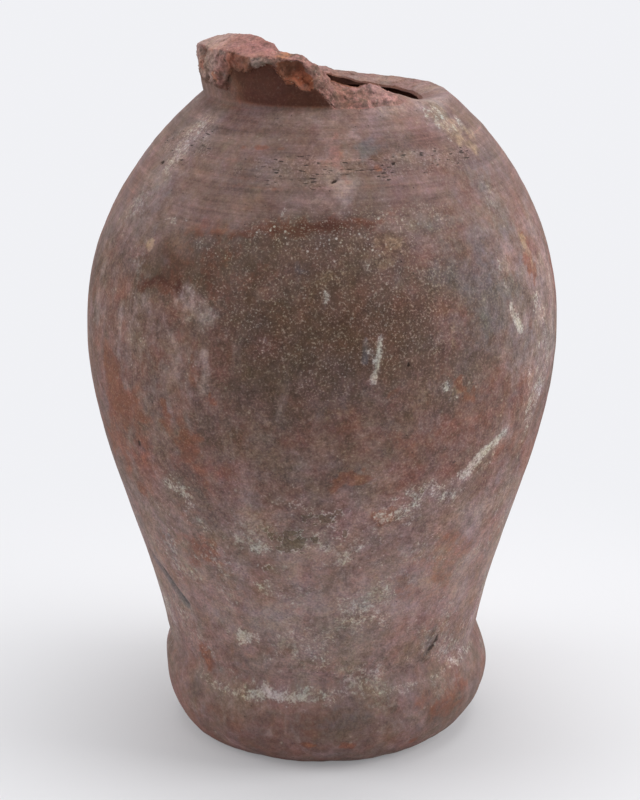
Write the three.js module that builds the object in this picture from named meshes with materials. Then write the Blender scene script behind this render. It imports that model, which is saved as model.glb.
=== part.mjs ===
// Earthenware storage jar with a splayed foot, a swelling belly and a mouth that has broken away.
// Millimetres, +Z up, origin at the centre of the sole. The wall is built of thrown sections that are
// luted together in sloping joints: slab, foot, lower wall, belly, shoulder, neck and a piece of collar.

import * as THREE from 'three';

// Sole and foot
const SLAB_RADIUS = 52;
const SLAB_BEVEL = 4;
const FLOOR_THICKNESS = 14;
const FOOT_RING_WIDTH = 8.5;
const FOOT_FLARE = 16.2;
const FOOT_WIDEST_HEIGHT = 28;
const SOLE_PULL = 9.5;
const SOLE_LIFT = THREE.MathUtils.degToRad(20);
const FOOT_PULL_DOWN = 14;
const FOOT_PULL_UP = 7;
const FLOOR_FILLET_OUT = 7;
const FLOOR_FILLET_RISE = 8;

// Wall line, from the crease above the foot to the root of the neck
const WAIST_RADIUS = 73.5;
const WAIST_HEIGHT = 46;
const WAIST_PULL = 45.8;
const WAIST_LEAN = THREE.MathUtils.degToRad(8);
const BELLY_RADIUS = 107.5;
const BELLY_HEIGHT = 192;
const BELLY_PULL_DOWN = 48.8;
const BELLY_PULL_UP = 12.9;
const NECK_RADIUS = 53;
const NECK_ROOT_HEIGHT = 302;
const SHOULDER_PULL = 72.2;
const SHOULDER_SLOPE = THREE.MathUtils.degToRad(39.2);
const WALL = 9;

// Luted joints between the sections
const LOWER_JOINT_HEIGHT = 118;
const SHOULDER_JOINT_RISE = 24;
const NECK_JOINT_DROP = 10;
const SCARF = 5;
const SLIP_GAP = 0.35;

// Broken neck and the piece of collar that is left on it
const NECK_WALL = 10;
const NECK_FLARE = 1.6;
const BORE_EASE = 1.5;
const COLLAR_JOINT_RISE = 10;
const COLLAR_HEIGHT = 20;
const COLLAR_OVERHANG = 4;
const COLLAR_LIP_RISE = 4;
const COLLAR_RIDGE_WIDTH = 2.5;
const COLLAR_EDGE = 1;
const COLLAR_START_ANGLE = 156;
const COLLAR_END_ANGLE = 273;

// How far the jar sagged out of true on the wheel
const FOOT_SHIFT = 2.1;
const SHOULDER_TILT = THREE.MathUtils.degToRad(1.1);

// Facets
const SEGMENTS = 48;
const FOOT_STEPS = 6;
const LOWER_STEPS = 7;
const BELLY_STEPS = 9;
const SHOULDER_STEPS = 8;
const NECK_STEPS = 3;
const COLLAR_STEPS = 18;
const HALVINGS = 40;

// Height of the broken edge above the root of the neck, as a share of the collar joint's rise. Round the jar,
// 0 degrees is +X and 270 is the front.
const STUMP_BREAK = [
  { at: 0, inner: -0.15, outer: -0.06 },
  { at: 60, inner: -0.2, outer: 0.06 },
  { at: 120, inner: -0.1, outer: 0.12 },
  { at: 150, inner: 0.5, outer: 0.6 },
  { at: COLLAR_START_ANGLE, inner: 1, outer: 1 },
  { at: COLLAR_END_ANGLE, inner: 1, outer: 1 },
  { at: 282, inner: 0.92, outer: 0.06 },
  { at: 300, inner: 1, outer: 0.04 },
  { at: 315, inner: 0.56, outer: 0.03 },
  { at: 338, inner: -0.08, outer: 0 },
  { at: 360, inner: -0.15, outer: -0.06 },
];

// Broken top of the fragment above its joint, as a share of the collar's height, and how far its face stands
// out there, as a share of the full overhang.
const COLLAR_BREAK = [
  { at: COLLAR_START_ANGLE, inner: 0.35, outer: 0.3, out: 0.4 },
  { at: 180, inner: 0.8, outer: 0.55, out: 0.8 },
  { at: 200, inner: 0.94, outer: 0.6, out: 1 },
  { at: 216, inner: 0.97, outer: 0.63, out: 1 },
  { at: 233, inner: 0.9, outer: 0.55, out: 1 },
  { at: 246, inner: 0.7, outer: 0.4, out: 0.9 },
  { at: 258, inner: 0.6, outer: 0.28, out: 0.4 },
  { at: COLLAR_END_ANGLE, inner: 0.27, outer: 0.23, out: 0.1 },
];

const soleRadius = SLAB_RADIUS + SLIP_GAP + FOOT_RING_WIDTH;
const footRadius = soleRadius + FOOT_FLARE;
const boreRadius = NECK_RADIUS - NECK_WALL;
const collarJointHeight = NECK_ROOT_HEIGHT + COLLAR_JOINT_RISE;
const shoulderJointHeight = BELLY_HEIGHT + SHOULDER_JOINT_RISE;
const neckJointHeight = NECK_ROOT_HEIGHT - NECK_JOINT_DROP;

const point = (radius, height) => new THREE.Vector2(radius, height);

// Outer line of the wall: waist to belly, then belly to the root of the neck.
function makeWallLine() {
  const waist = point(WAIST_RADIUS, WAIST_HEIGHT);
  const belly = point(BELLY_RADIUS, BELLY_HEIGHT);
  const root = point(NECK_RADIUS, NECK_ROOT_HEIGHT);
  const leaveWaist = point(Math.sin(WAIST_LEAN), Math.cos(WAIST_LEAN)).multiplyScalar(WAIST_PULL).add(waist);
  const reachBelly = point(BELLY_RADIUS, BELLY_HEIGHT - BELLY_PULL_DOWN);
  const leaveBelly = point(BELLY_RADIUS, BELLY_HEIGHT + BELLY_PULL_UP);
  const slope = point(Math.cos(SHOULDER_SLOPE), -Math.sin(SHOULDER_SLOPE));
  const reachRoot = slope.multiplyScalar(SHOULDER_PULL).add(root);
  const line = new THREE.CurvePath();
  line.add(new THREE.CubicBezierCurve(waist, leaveWaist, reachBelly, belly));
  line.add(new THREE.CubicBezierCurve(belly, leaveBelly, reachRoot, root));
  return line;
}

const wallLine = makeWallLine();
const wallLength = wallLine.getLength();
const scarfShare = SCARF / wallLength;
const slipShare = SLIP_GAP / wallLength;

// Share of the wall line's length at which it reaches a height.
function shareAtHeight(height) {
  let low = 0;
  let high = 1;
  for (let step = 0; step < HALVINGS; step += 1) {
    const middle = (low + high) / 2;
    if (wallLine.getPoint(middle).y < height) {
      low = middle;
    } else {
      high = middle;
    }
  }
  return low;
}

// Point on the inside of the wall, straight through it from a share of the outer line.
function insidePoint(share) {
  const along = wallLine.getTangent(share);
  return wallLine.getPoint(share).add(point(-along.y, along.x).multiplyScalar(WALL));
}

// Evenly spaced values from one end to the other, both included.
function spread(from, to, steps) {
  return Array.from({ length: steps + 1 }, (_, i) => THREE.MathUtils.lerp(from, to, i / steps));
}

// Closed outline of a strip of wall between two joints. Its inner edges lie higher, so both joints slope.
function stripOutline(from, to, steps) {
  const outside = spread(from, to, steps).map((share) => wallLine.getPoint(share));
  const inside = spread(from, to, steps).map((share) => insidePoint(Math.min(share + scarfShare, 1)));
  return [...outside, ...inside.reverse()];
}

const smooth = (value, low, high) => THREE.MathUtils.smoothstep(value, low, high);

// Sideways shift of the foot and tilt of the shoulder, the same for every section, so that joints stay true.
function settle(geometry) {
  const position = geometry.attributes.position;
  const tilt = Math.tan(SHOULDER_TILT);
  for (let i = 0; i < position.count; i += 1) {
    const x = position.getX(i);
    const z = position.getZ(i);
    const inFoot = THREE.MathUtils.clamp(z / WAIST_HEIGHT, 0, 1);
    position.setX(i, x + FOOT_SHIFT * Math.sin(Math.PI * inFoot));
    position.setZ(i, z + tilt * x * smooth(z, BELLY_HEIGHT, neckJointHeight));
  }
  geometry.computeVertexNormals();
  return geometry;
}

// Ring of revolution about +Z from a closed outline that runs up the outside and down the inside.
function turn(outline) {
  const geometry = new THREE.LatheGeometry([...outline, outline[0]], SEGMENTS);
  return geometry.rotateX(Math.PI / 2);
}

// Value of a field between the stations on either side of an angle in degrees.
function valueAt(stations, field, angle) {
  const next = Math.max(1, stations.findIndex((station) => station.at >= angle));
  const before = stations[next - 1];
  const after = stations[next];
  const share = (angle - before.at) / (after.at - before.at);
  return THREE.MathUtils.lerp(before[field], after[field], THREE.MathUtils.clamp(share, 0, 1));
}

// Solid through a row of closed sections of equal point count, with a flat cap at each end.
function loft(sections) {
  const count = sections[0].length;
  const vertices = sections.flat().flatMap((vertex) => vertex.toArray());
  const faces = [];
  for (let ring = 0; ring < sections.length - 1; ring += 1) {
    for (let i = 0; i < count; i += 1) {
      const a = ring * count + i;
      const b = ring * count + ((i + 1) % count);
      faces.push(a, a + count, b, b, a + count, b + count);
    }
  }
  const last = (sections.length - 1) * count;
  for (let i = 1; i < count - 1; i += 1) {
    faces.push(0, i, i + 1, last, last + i + 1, last + i);
  }
  const geometry = new THREE.BufferGeometry();
  geometry.setAttribute('position', new THREE.Float32BufferAttribute(vertices, 3));
  geometry.setIndex(faces);
  return geometry;
}

// Disc that closes the bottom. It widens upwards, so the foot's ring carries it.
function makeBaseSlab() {
  const outline = [
    point(0, 0),
    point(SLAB_RADIUS, 0),
    point(SLAB_RADIUS + SLAB_BEVEL, FLOOR_THICKNESS),
    point(0, FLOOR_THICKNESS),
  ];
  return new THREE.LatheGeometry(outline, SEGMENTS).rotateX(Math.PI / 2);
}

// Splayed foot: it rolls out from the sole, is widest low down and draws in to the crease at the waist.
function footOutline() {
  const seat = SLAB_RADIUS + SLIP_GAP;
  const roll = new THREE.CubicBezierCurve(
    point(soleRadius, 0),
    point(soleRadius + SOLE_PULL * Math.cos(SOLE_LIFT), SOLE_PULL * Math.sin(SOLE_LIFT)),
    point(footRadius, FOOT_WIDEST_HEIGHT - FOOT_PULL_DOWN),
    point(footRadius, FOOT_WIDEST_HEIGHT),
  );
  const drawIn = new THREE.QuadraticBezierCurve(
    point(footRadius, FOOT_WIDEST_HEIGHT),
    point(footRadius, FOOT_WIDEST_HEIGHT + FOOT_PULL_UP),
    point(WAIST_RADIUS, WAIST_HEIGHT - SLIP_GAP),
  );
  const top = insidePoint(scarfShare).sub(point(0, SLIP_GAP));
  const corner = point(seat + SLAB_BEVEL, FLOOR_THICKNESS);
  const inside = new THREE.QuadraticBezierCurve(
    top,
    point(corner.x + FLOOR_FILLET_OUT, corner.y + FLOOR_FILLET_RISE),
    corner,
  );
  return [
    ...roll.getPoints(FOOT_STEPS),
    ...drawIn.getPoints(FOOT_STEPS).slice(1),
    ...inside.getPoints(FOOT_STEPS),
    point(seat, 0),
  ];
}

const radiusAtRise = (radius, rise) => radius + (NECK_FLARE * rise) / COLLAR_JOINT_RISE;

// Neck ring on the shoulder. Its top follows the break, level only where the collar still sits on it.
function makeNeckStump() {
  const from = shareAtHeight(neckJointHeight) + slipShare;
  const outside = spread(from, 1, NECK_STEPS).map((share) => wallLine.getPoint(share));
  const inside = spread(from + scarfShare, 1, NECK_STEPS).map(insidePoint);
  const boreFoot = point(boreRadius, inside[NECK_STEPS].y + BORE_EASE);
  const outerTop = point(radiusAtRise(NECK_RADIUS, COLLAR_JOINT_RISE), collarJointHeight);
  const innerTop = point(radiusAtRise(boreRadius, COLLAR_JOINT_RISE), collarJointHeight);
  const geometry = turn([...outside, outerTop, innerTop, boreFoot, ...inside.reverse()]);
  const position = geometry.attributes.position;
  const middle = (outerTop.x + innerTop.x) / 2;
  for (let i = 0; i < position.count; i += 1) {
    if (position.getZ(i) < collarJointHeight - SLIP_GAP) {
      continue;
    }
    const angle = Math.atan2(position.getY(i), position.getX(i));
    const turned = THREE.MathUtils.euclideanModulo(THREE.MathUtils.radToDeg(angle), 360);
    const outer = Math.hypot(position.getX(i), position.getY(i)) > middle;
    const rise = COLLAR_JOINT_RISE * valueAt(STUMP_BREAK, outer ? 'outer' : 'inner', turned);
    const radius = radiusAtRise(outer ? NECK_RADIUS : boreRadius, Math.max(rise, 0));
    position.setXYZ(i, radius * Math.cos(angle), radius * Math.sin(angle), NECK_ROOT_HEIGHT + rise);
  }
  return geometry;
}

// One section of the collar fragment, from its bore round under the overhang and over the broken top.
function collarSection(angle) {
  const base = collarJointHeight + SLIP_GAP;
  const bore = radiusAtRise(boreRadius, COLLAR_JOINT_RISE);
  const neck = radiusAtRise(NECK_RADIUS, COLLAR_JOINT_RISE);
  const face = neck + COLLAR_OVERHANG * valueAt(COLLAR_BREAK, 'out', angle);
  const inner = base + COLLAR_HEIGHT * valueAt(COLLAR_BREAK, 'inner', angle);
  const outer = base + COLLAR_HEIGHT * valueAt(COLLAR_BREAK, 'outer', angle);
  const turned = THREE.MathUtils.degToRad(angle);
  const outline = [
    point(bore, base),
    point(neck, base),
    point(face, Math.min(base + COLLAR_LIP_RISE, outer - SLIP_GAP)),
    point(face - COLLAR_EDGE, outer),
    point(bore + COLLAR_RIDGE_WIDTH, inner),
    point(bore, inner - COLLAR_EDGE),
  ];
  return outline.map((at) => new THREE.Vector3(at.x * Math.cos(turned), at.x * Math.sin(turned), at.y));
}

function makeCollarFragment() {
  return loft(spread(COLLAR_START_ANGLE, COLLAR_END_ANGLE, COLLAR_STEPS).map(collarSection));
}

function clay(colour) {
  return new THREE.MeshStandardMaterial({ color: colour, roughness: 0.92, metalness: 0 });
}

const jar = new THREE.Group();

function addSection(name, geometry, colour) {
  const mesh = new THREE.Mesh(settle(geometry), clay(colour));
  mesh.name = name;
  jar.add(mesh);
}

const lowerJoint = shareAtHeight(LOWER_JOINT_HEIGHT);
const shoulderJoint = shareAtHeight(shoulderJointHeight);
const neckJoint = shareAtHeight(neckJointHeight);

const lowerStrip = stripOutline(0, lowerJoint, LOWER_STEPS);
const bellyStrip = stripOutline(lowerJoint + slipShare, shoulderJoint, BELLY_STEPS);
const shoulderStrip = stripOutline(shoulderJoint + slipShare, neckJoint, SHOULDER_STEPS);

addSection('base_slab', makeBaseSlab(), 0x8a7266);
addSection('foot_roll', turn(footOutline()), 0x8d7a70);
addSection('lower_wall', turn(lowerStrip), 0x846a60);
addSection('belly_wall', turn(bellyStrip), 0x75604f);
addSection('shoulder_wall', turn(shoulderStrip), 0x85736b);
addSection('neck_stump', makeNeckStump(), 0x9a6a58);
addSection('collar_fragment', makeCollarFragment(), 0x8f6656);

export default jar;
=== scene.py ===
"""Looks of an earthenware storage jar: a weathered thrown body on a splayed foot, with a broken neck.

The jar is modelled as one turned wall, worked over like clay, and then parted at its luted joints, so that
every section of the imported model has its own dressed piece. Sizes are in millimetres unless a name says
otherwise, and MM turns them into the frame's metres.
"""

from __future__ import annotations

import itertools
import logging
import math
from contextlib import contextmanager
from dataclasses import dataclass
from enum import Enum
from typing import Any, Iterator, NamedTuple, Sequence

import bpy
import numpy as np
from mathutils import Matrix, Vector

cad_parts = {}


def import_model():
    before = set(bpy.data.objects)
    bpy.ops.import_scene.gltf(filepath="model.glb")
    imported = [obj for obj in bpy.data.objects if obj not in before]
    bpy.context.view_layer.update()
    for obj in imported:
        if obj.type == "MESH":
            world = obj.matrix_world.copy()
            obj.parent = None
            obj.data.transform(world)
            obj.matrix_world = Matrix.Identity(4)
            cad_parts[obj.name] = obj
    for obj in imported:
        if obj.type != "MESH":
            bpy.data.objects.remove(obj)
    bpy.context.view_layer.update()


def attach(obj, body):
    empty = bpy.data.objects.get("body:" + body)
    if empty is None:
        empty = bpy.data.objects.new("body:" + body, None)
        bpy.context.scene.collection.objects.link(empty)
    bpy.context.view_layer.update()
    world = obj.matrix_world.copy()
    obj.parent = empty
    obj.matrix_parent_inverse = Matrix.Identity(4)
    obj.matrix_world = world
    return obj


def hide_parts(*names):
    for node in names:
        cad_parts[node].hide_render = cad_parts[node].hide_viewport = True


LOG = logging.getLogger("jar")
MM = 0.001
BODY = "root"
TURN = 2.0 * math.pi
HASH_STEPS = (73856093, 19349663, 83492791, 2654435761)
HASH_MIX = 1274126177
OCTAVE_SHIFT = 31.7
WELD = 0.02
FINEST_RAGS = 2.5
FIRST_MARK_SEED = 100
Pair = tuple[float, float]
Triple = tuple[float, float, float]
Colour = Triple
Field = np.ndarray
Piece = bpy.types.Object
Mesh = bpy.types.Mesh
Material = bpy.types.Material
UNMOVED: Triple = (0.0, 0.0, 0.0)


class Tint(Enum):
    """What lies on the clay at a place, painted shade among it; each has its own attribute on the meshes."""

    LIME = "lime"
    RUST = "rust"
    BLOOM = "bloom"
    # SOOT_AND_SHADE: smoke stains, and painted shade under the collar, in hollows, on undersides, in the
    # bore and on the foot.
    SOOT_AND_SHADE = "soot_and_shade"
    OCHRE = "ochre"
    GRIT = "grit"
    # SCAR_AND_SHADE: pits and nicks, and a spot of painted shade under the collar.
    SCAR_AND_SHADE = "scar_and_shade"
    SLATE = "slate"
    WIPE = "wipe"
    RINGS = "rings"
    TORN = "torn"
    FLECKS = "flecks"
    CRUST = "crust"
    FRESH = "fresh"


LIME, RUST, BLOOM, SOOT_AND_SHADE, OCHRE, GRIT, SCAR_AND_SHADE, SLATE, WIPE, RINGS, TORN, FLECKS, CRUST, FRESH = Tint
Tints = dict[Tint, Field]


class Section(Enum):
    """The sections that the wall is parted into, by the names of the nodes that they stand for."""

    FOOT = "foot_roll"
    LOWER = "lower_wall"
    BELLY = "belly_wall"
    SHOULDER = "shoulder_wall"
    NECK = "neck_stump"


class Slot(Enum):
    """Material slots of the record."""

    WALL = "fired_clay"
    FOOT = "foot_clay"
    BREAK = "broken_clay"


def smooth(value: Field, low: float, high: float) -> Field:
    """Ease from 0 at low to 1 at high.

    Args:
        value: Numbers to ease.
        low: Where the result leaves 0.
        high: Where the result reaches 1.

    Returns:
        The eased numbers.
    """
    share = np.clip((value - low) / (high - low), 0.0, 1.0)
    return share * share * (3.0 - 2.0 * share)


class Spot(NamedTuple):
    """A soft round spot on the neck: angle in degrees and height of its middle, and its reach in each."""

    angle: float
    height: float
    wide: float
    high: float

    def over(self, angle: Field, height: Field) -> Field:
        """How strongly the spot covers each place: 1 in the middle, falling to 0."""
        away = np.hypot((angle - self.angle) / self.wide, (height - self.height) / self.high)
        return 1.0 - smooth(away, 0.3, 1.0)


class Sector(NamedTuple):
    """A stretch round the neck, by the angles in degrees between which it sets in and dies out."""

    sets_in: Pair
    dies_out: Pair

    def over(self, angle: Field) -> Field:
        """1 within the stretch, easing to 0 at both ends."""
        return smooth(angle, *self.sets_in) * (1.0 - smooth(angle, *self.dies_out))


def lattice(cell: Field, seed: int) -> Field:
    """Fixed pseudo-random number from -1 to 1 for each whole-number cell.

    Args:
        cell: Rows of three whole numbers.
        seed: Chooses one of many patterns.

    Returns:
        One number for each row.
    """
    steps = [column * step for column, step in zip((*cell.T, seed), HASH_STEPS)]
    mixed = steps[0] ^ steps[1] ^ steps[2] ^ steps[3]
    mixed = (mixed ^ (mixed >> 13)) * HASH_MIX & 0xFFFFFFFF
    mixed = (mixed ^ (mixed >> 16)) & 0xFFFF
    return mixed / 32767.5 - 1.0


def clouds(points: Field, size: float, octaves: int, seed: int) -> Field:
    """Smooth cloudy noise.

    Args:
        points: Rows of three coordinates.
        size: Width of the largest clouds, in the points' unit.
        octaves: How many finer layers are added, each half as wide and half as strong.
        seed: Chooses one of many patterns.

    Returns:
        Noise from about -1 to 1, one number for each point.
    """
    total = np.zeros(len(points))
    for octave in range(octaves):
        place = points / size * 2.0**octave + OCTAVE_SHIFT * octave
        cell = np.floor(place).astype(np.int64)
        share = place - cell
        share = share * share * (3.0 - 2.0 * share)
        for corner in itertools.product((0, 1), repeat=3):
            weight = np.prod(np.where(corner, share, 1.0 - share), axis=1)
            total += weight * lattice(cell + np.array(corner), seed + octave) * 0.5**octave
    return total


def flakes(points: Field, size: float, seed: int) -> Field:
    """Flat facets with sharp steps between them, as clay breaks.

    Args:
        points: Rows of three coordinates.
        size: Width of the facets, in the points' unit.
        seed: Chooses one of many patterns.

    Returns:
        Heights from about -1 to 1, one number for each point.
    """
    place = points / size
    cell = np.floor(place).astype(np.int64)
    nearest = np.full(len(points), 9.0)
    height = np.zeros(len(points))
    for corner in itertools.product((-1, 0, 1), repeat=3):
        around = cell + np.array(corner)
        middle = around + 0.5 + 0.45 * np.stack([lattice(around, seed + axis) for axis in range(3)], axis=1)
        slope = np.stack([lattice(around, seed + 3 + axis) for axis in range(3)], axis=1)
        reach = np.linalg.norm(place - middle, axis=1)
        facet = 0.5 * lattice(around, seed + 7) + ((place - middle) * slope).sum(axis=1)
        height = np.where(reach < nearest, facet, height)
        nearest = np.minimum(nearest, reach)
    return height


def cubic(a: Pair, b: Pair, c: Pair, d: Pair, count: int) -> Field:
    """Points along a cubic curve.

    Args:
        a: First point.
        b: Handle of the first point.
        c: Handle of the last point.
        d: Last point.
        count: How many spans the curve is divided into.

    Returns:
        Rows of radius and height, count + 1 of them.
    """
    t = np.linspace(0.0, 1.0, count + 1)[:, None]
    near = (1 - t) ** 3 * np.array(a) + 3 * (1 - t) ** 2 * t * np.array(b)
    return near + 3 * (1 - t) * t**2 * np.array(c) + t**3 * np.array(d)


def respace(line: Field, count: int) -> Field:
    """The same line with its points evenly spaced.

    Args:
        line: Rows of coordinates.
        count: How many spans the result has.

    Returns:
        count + 1 rows.
    """
    steps = np.linalg.norm(np.diff(line, axis=0), axis=1)
    along = np.concatenate([[0.0], np.cumsum(steps)])
    wanted = np.linspace(0.0, along[-1], count + 1)
    return np.stack([np.interp(wanted, along, line[:, axis]) for axis in range(line.shape[1])], axis=1)


def deselect() -> None:
    """Leave nothing selected, in object mode."""
    if bpy.context.mode != "OBJECT":
        bpy.ops.object.mode_set(mode="OBJECT")
    bpy.ops.object.select_all(action="DESELECT")


@contextmanager
def editing(piece: Piece) -> Iterator[None]:
    """Open one object in edit mode, with nothing else selected, and go back to object mode at the end.

    Args:
        piece: The object.

    Yields:
        Nothing: the work is done inside.
    """
    deselect()
    bpy.context.view_layer.objects.active = piece
    piece.select_set(True)
    bpy.ops.object.mode_set(mode="EDIT")
    yield
    bpy.ops.object.mode_set(mode="OBJECT")


def face_outwards(piece: Piece) -> None:
    """Turn all faces of a closed piece outwards.

    Args:
        piece: The piece.
    """
    with editing(piece):
        bpy.ops.mesh.select_all(action="SELECT")
        bpy.ops.mesh.normals_make_consistent(inside=False)


def select(mesh: Mesh, vertices: Field | None = None, faces: Field | None = None) -> None:
    """Select some vertices or faces of a mesh in object mode, and nothing else.

    Args:
        mesh: The mesh.
        vertices: Which vertices, or None for none.
        faces: Which faces, or None for none.
    """
    for parts, chosen in ((mesh.vertices, vertices), (mesh.edges, None), (mesh.polygons, faces)):
        if len(parts):
            parts.foreach_set("select", np.zeros(len(parts), bool) if chosen is None else chosen)


def apply_modifier(piece: Piece, kind: str, **settings: Any) -> None:
    """Add a modifier to the active piece and apply it.

    Args:
        piece: The active piece.
        kind: The modifier's type.
        **settings: The modifier's settings.
    """
    bpy.ops.object.modifier_add(type=kind)
    modifier = piece.modifiers[-1]
    for setting, choice in settings.items():
        setattr(modifier, setting, choice)
    bpy.ops.object.modifier_apply(modifier=modifier.name)


def gathered(parts: bpy.types.bpy_prop_collection, name: str, width: int = 1) -> Field:
    """Numbers of a mesh's vertices, or of other parts of it.

    Args:
        parts: The parts.
        name: What is read of each.
        width: How many numbers each has.

    Returns:
        One number for each part, or rows of them where each has more.
    """
    flat = np.empty(len(parts) * width, np.float32)
    parts.foreach_get(name, flat)
    return flat.astype(float) if width == 1 else flat.reshape(-1, width).astype(float)


def coordinates(mesh: Mesh) -> Field:
    """Vertex coordinates in millimetres, as rows of three."""
    return gathered(mesh.vertices, "co", 3) / MM


def set_coordinates(mesh: Mesh, points: Field) -> None:
    """Move the vertices to points in millimetres."""
    mesh.vertices.foreach_set("co", (points * MM).astype(np.float32).ravel())
    mesh.update()


def vertex_normals(mesh: Mesh) -> Field:
    """Outward direction at each vertex, as rows of three."""
    return gathered(mesh.vertex_normals, "vector", 3)


def store(mesh: Mesh, name: str, values: Field) -> None:
    """Keep one number for each vertex under a name.

    Args:
        mesh: The mesh.
        name: Name of the attribute.
        values: One number for each vertex.
    """
    layer = mesh.attributes.get(name) or mesh.attributes.new(name, "FLOAT", "POINT")
    layer.data.foreach_set("value", values.astype(np.float32))


def stored(mesh: Mesh, name: str) -> Field:
    """Numbers kept by store, one for each vertex."""
    return gathered(mesh.attributes[name].data, "value")


def turn_outline(name: str, outline: Field, steps: int, angle: float = TURN, closed: bool = True) -> Piece:
    """Turn an outline about the upright axis, as on a wheel.

    The outline is drawn by extruding a point from place to place, and a screw of no pitch carries it round.
    Each vertex keeps the number of its outline point in the attribute "row".

    Args:
        name: Name of the new object.
        outline: Rows of radius and height.
        steps: Divisions of the turn.
        angle: How far the outline is turned, in radians.
        closed: Whether the outline's ends are joined first.

    Returns:
        The turned ring, or a part of one.
    """
    deselect()
    bpy.ops.mesh.primitive_plane_add(size=MM, location=(0.0, 0.0, 0.0))
    ring = bpy.context.active_object
    ring.name = name
    with editing(ring):
        bpy.ops.mesh.merge(type="CENTER")
        bpy.ops.transform.translate(value=(outline[0][0] * MM, 0.0, outline[0][1] * MM))
        for step in np.diff(outline, axis=0) * MM:
            bpy.ops.mesh.extrude_region_move(TRANSFORM_OT_translate={"value": (step[0], 0.0, step[1])})
    points = coordinates(ring.data)[:, (0, 2)]
    rows = np.array([np.argmin(np.abs(outline - point).sum(axis=1)) for point in points])
    store(ring.data, "row", rows)
    if closed:
        select(ring.data, vertices=np.isin(rows, (0, len(outline) - 1)))
        with editing(ring):
            bpy.ops.mesh.edge_face_add()
    apply_modifier(ring, "SCREW", axis="Z", angle=angle, steps=steps, render_steps=steps)
    with editing(ring):
        bpy.ops.mesh.select_all(action="SELECT")
        bpy.ops.mesh.remove_doubles(threshold=WELD * MM)
        bpy.ops.mesh.normals_make_consistent(inside=False)
    return ring


@dataclass(frozen=True)
class PhotoView:
    """The view that the jar is shown from, and the frame that marks are read off in."""

    stand: Triple = (-0.9, -980.0, 466.3)
    pitch_deg: float = 17.58
    focal_px: float = 2201.9
    frame_px: Pair = (640.0, 800.0)
    film: float = 36.0
    near: float = 780.0
    far: float = 1250.0
    stride: float = 0.25

    def add_camera(self) -> None:
        """Put the scene's camera at this view."""
        data = bpy.data.cameras.new("photo_view")
        data.sensor_fit = "VERTICAL"
        data.sensor_height = self.film
        data.lens = self.focal_px / self.frame_px[1] * self.film
        data.clip_end = 50.0
        camera = bpy.data.objects.new("photo_view", data)
        bpy.context.scene.collection.objects.link(camera)
        camera.location = Vector(self.stand) * MM
        camera.rotation_euler = (math.radians(90.0 - self.pitch_deg), 0.0, 0.0)
        bpy.context.scene.camera = camera

    def ray(self, pixel: Pair) -> Field:
        """Which way the view looks through a pixel.

        Args:
            pixel: Column and row in the photo's frame.

        Returns:
            The direction from the view's stand, as a unit vector.
        """
        pitch = math.radians(self.pitch_deg)
        ahead = np.array([0.0, math.cos(pitch), -math.sin(pitch)])
        up = np.array([0.0, math.sin(pitch), math.cos(pitch)])
        across = (pixel[0] - self.frame_px[0] / 2) / self.focal_px
        down = (pixel[1] - self.frame_px[1] / 2) / self.focal_px
        direction = ahead + across * np.array([1.0, 0.0, 0.0]) - down * up
        return direction / np.linalg.norm(direction)

    def on_wall(self, pixel: Pair, heights: Field, radii: Field) -> Pair:
        """Place on a turned wall that a pixel shows.

        Args:
            pixel: Column and row in the photo's frame.
            heights: Heights of the wall's outline, rising.
            radii: Radii at those heights.

        Returns:
            Angle round the axis in radians, and height.
        """
        reach = np.arange(self.near, self.far, self.stride)
        points = np.array(self.stand) + reach[:, None] * self.ray(pixel)
        inside = np.hypot(points[:, 0], points[:, 1]) - np.interp(points[:, 2], heights, radii)
        first = points[np.argmax(inside <= 0.0) if (inside <= 0.0).any() else np.argmin(inside)]
        return math.atan2(first[1], first[0]), float(first[2])


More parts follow.
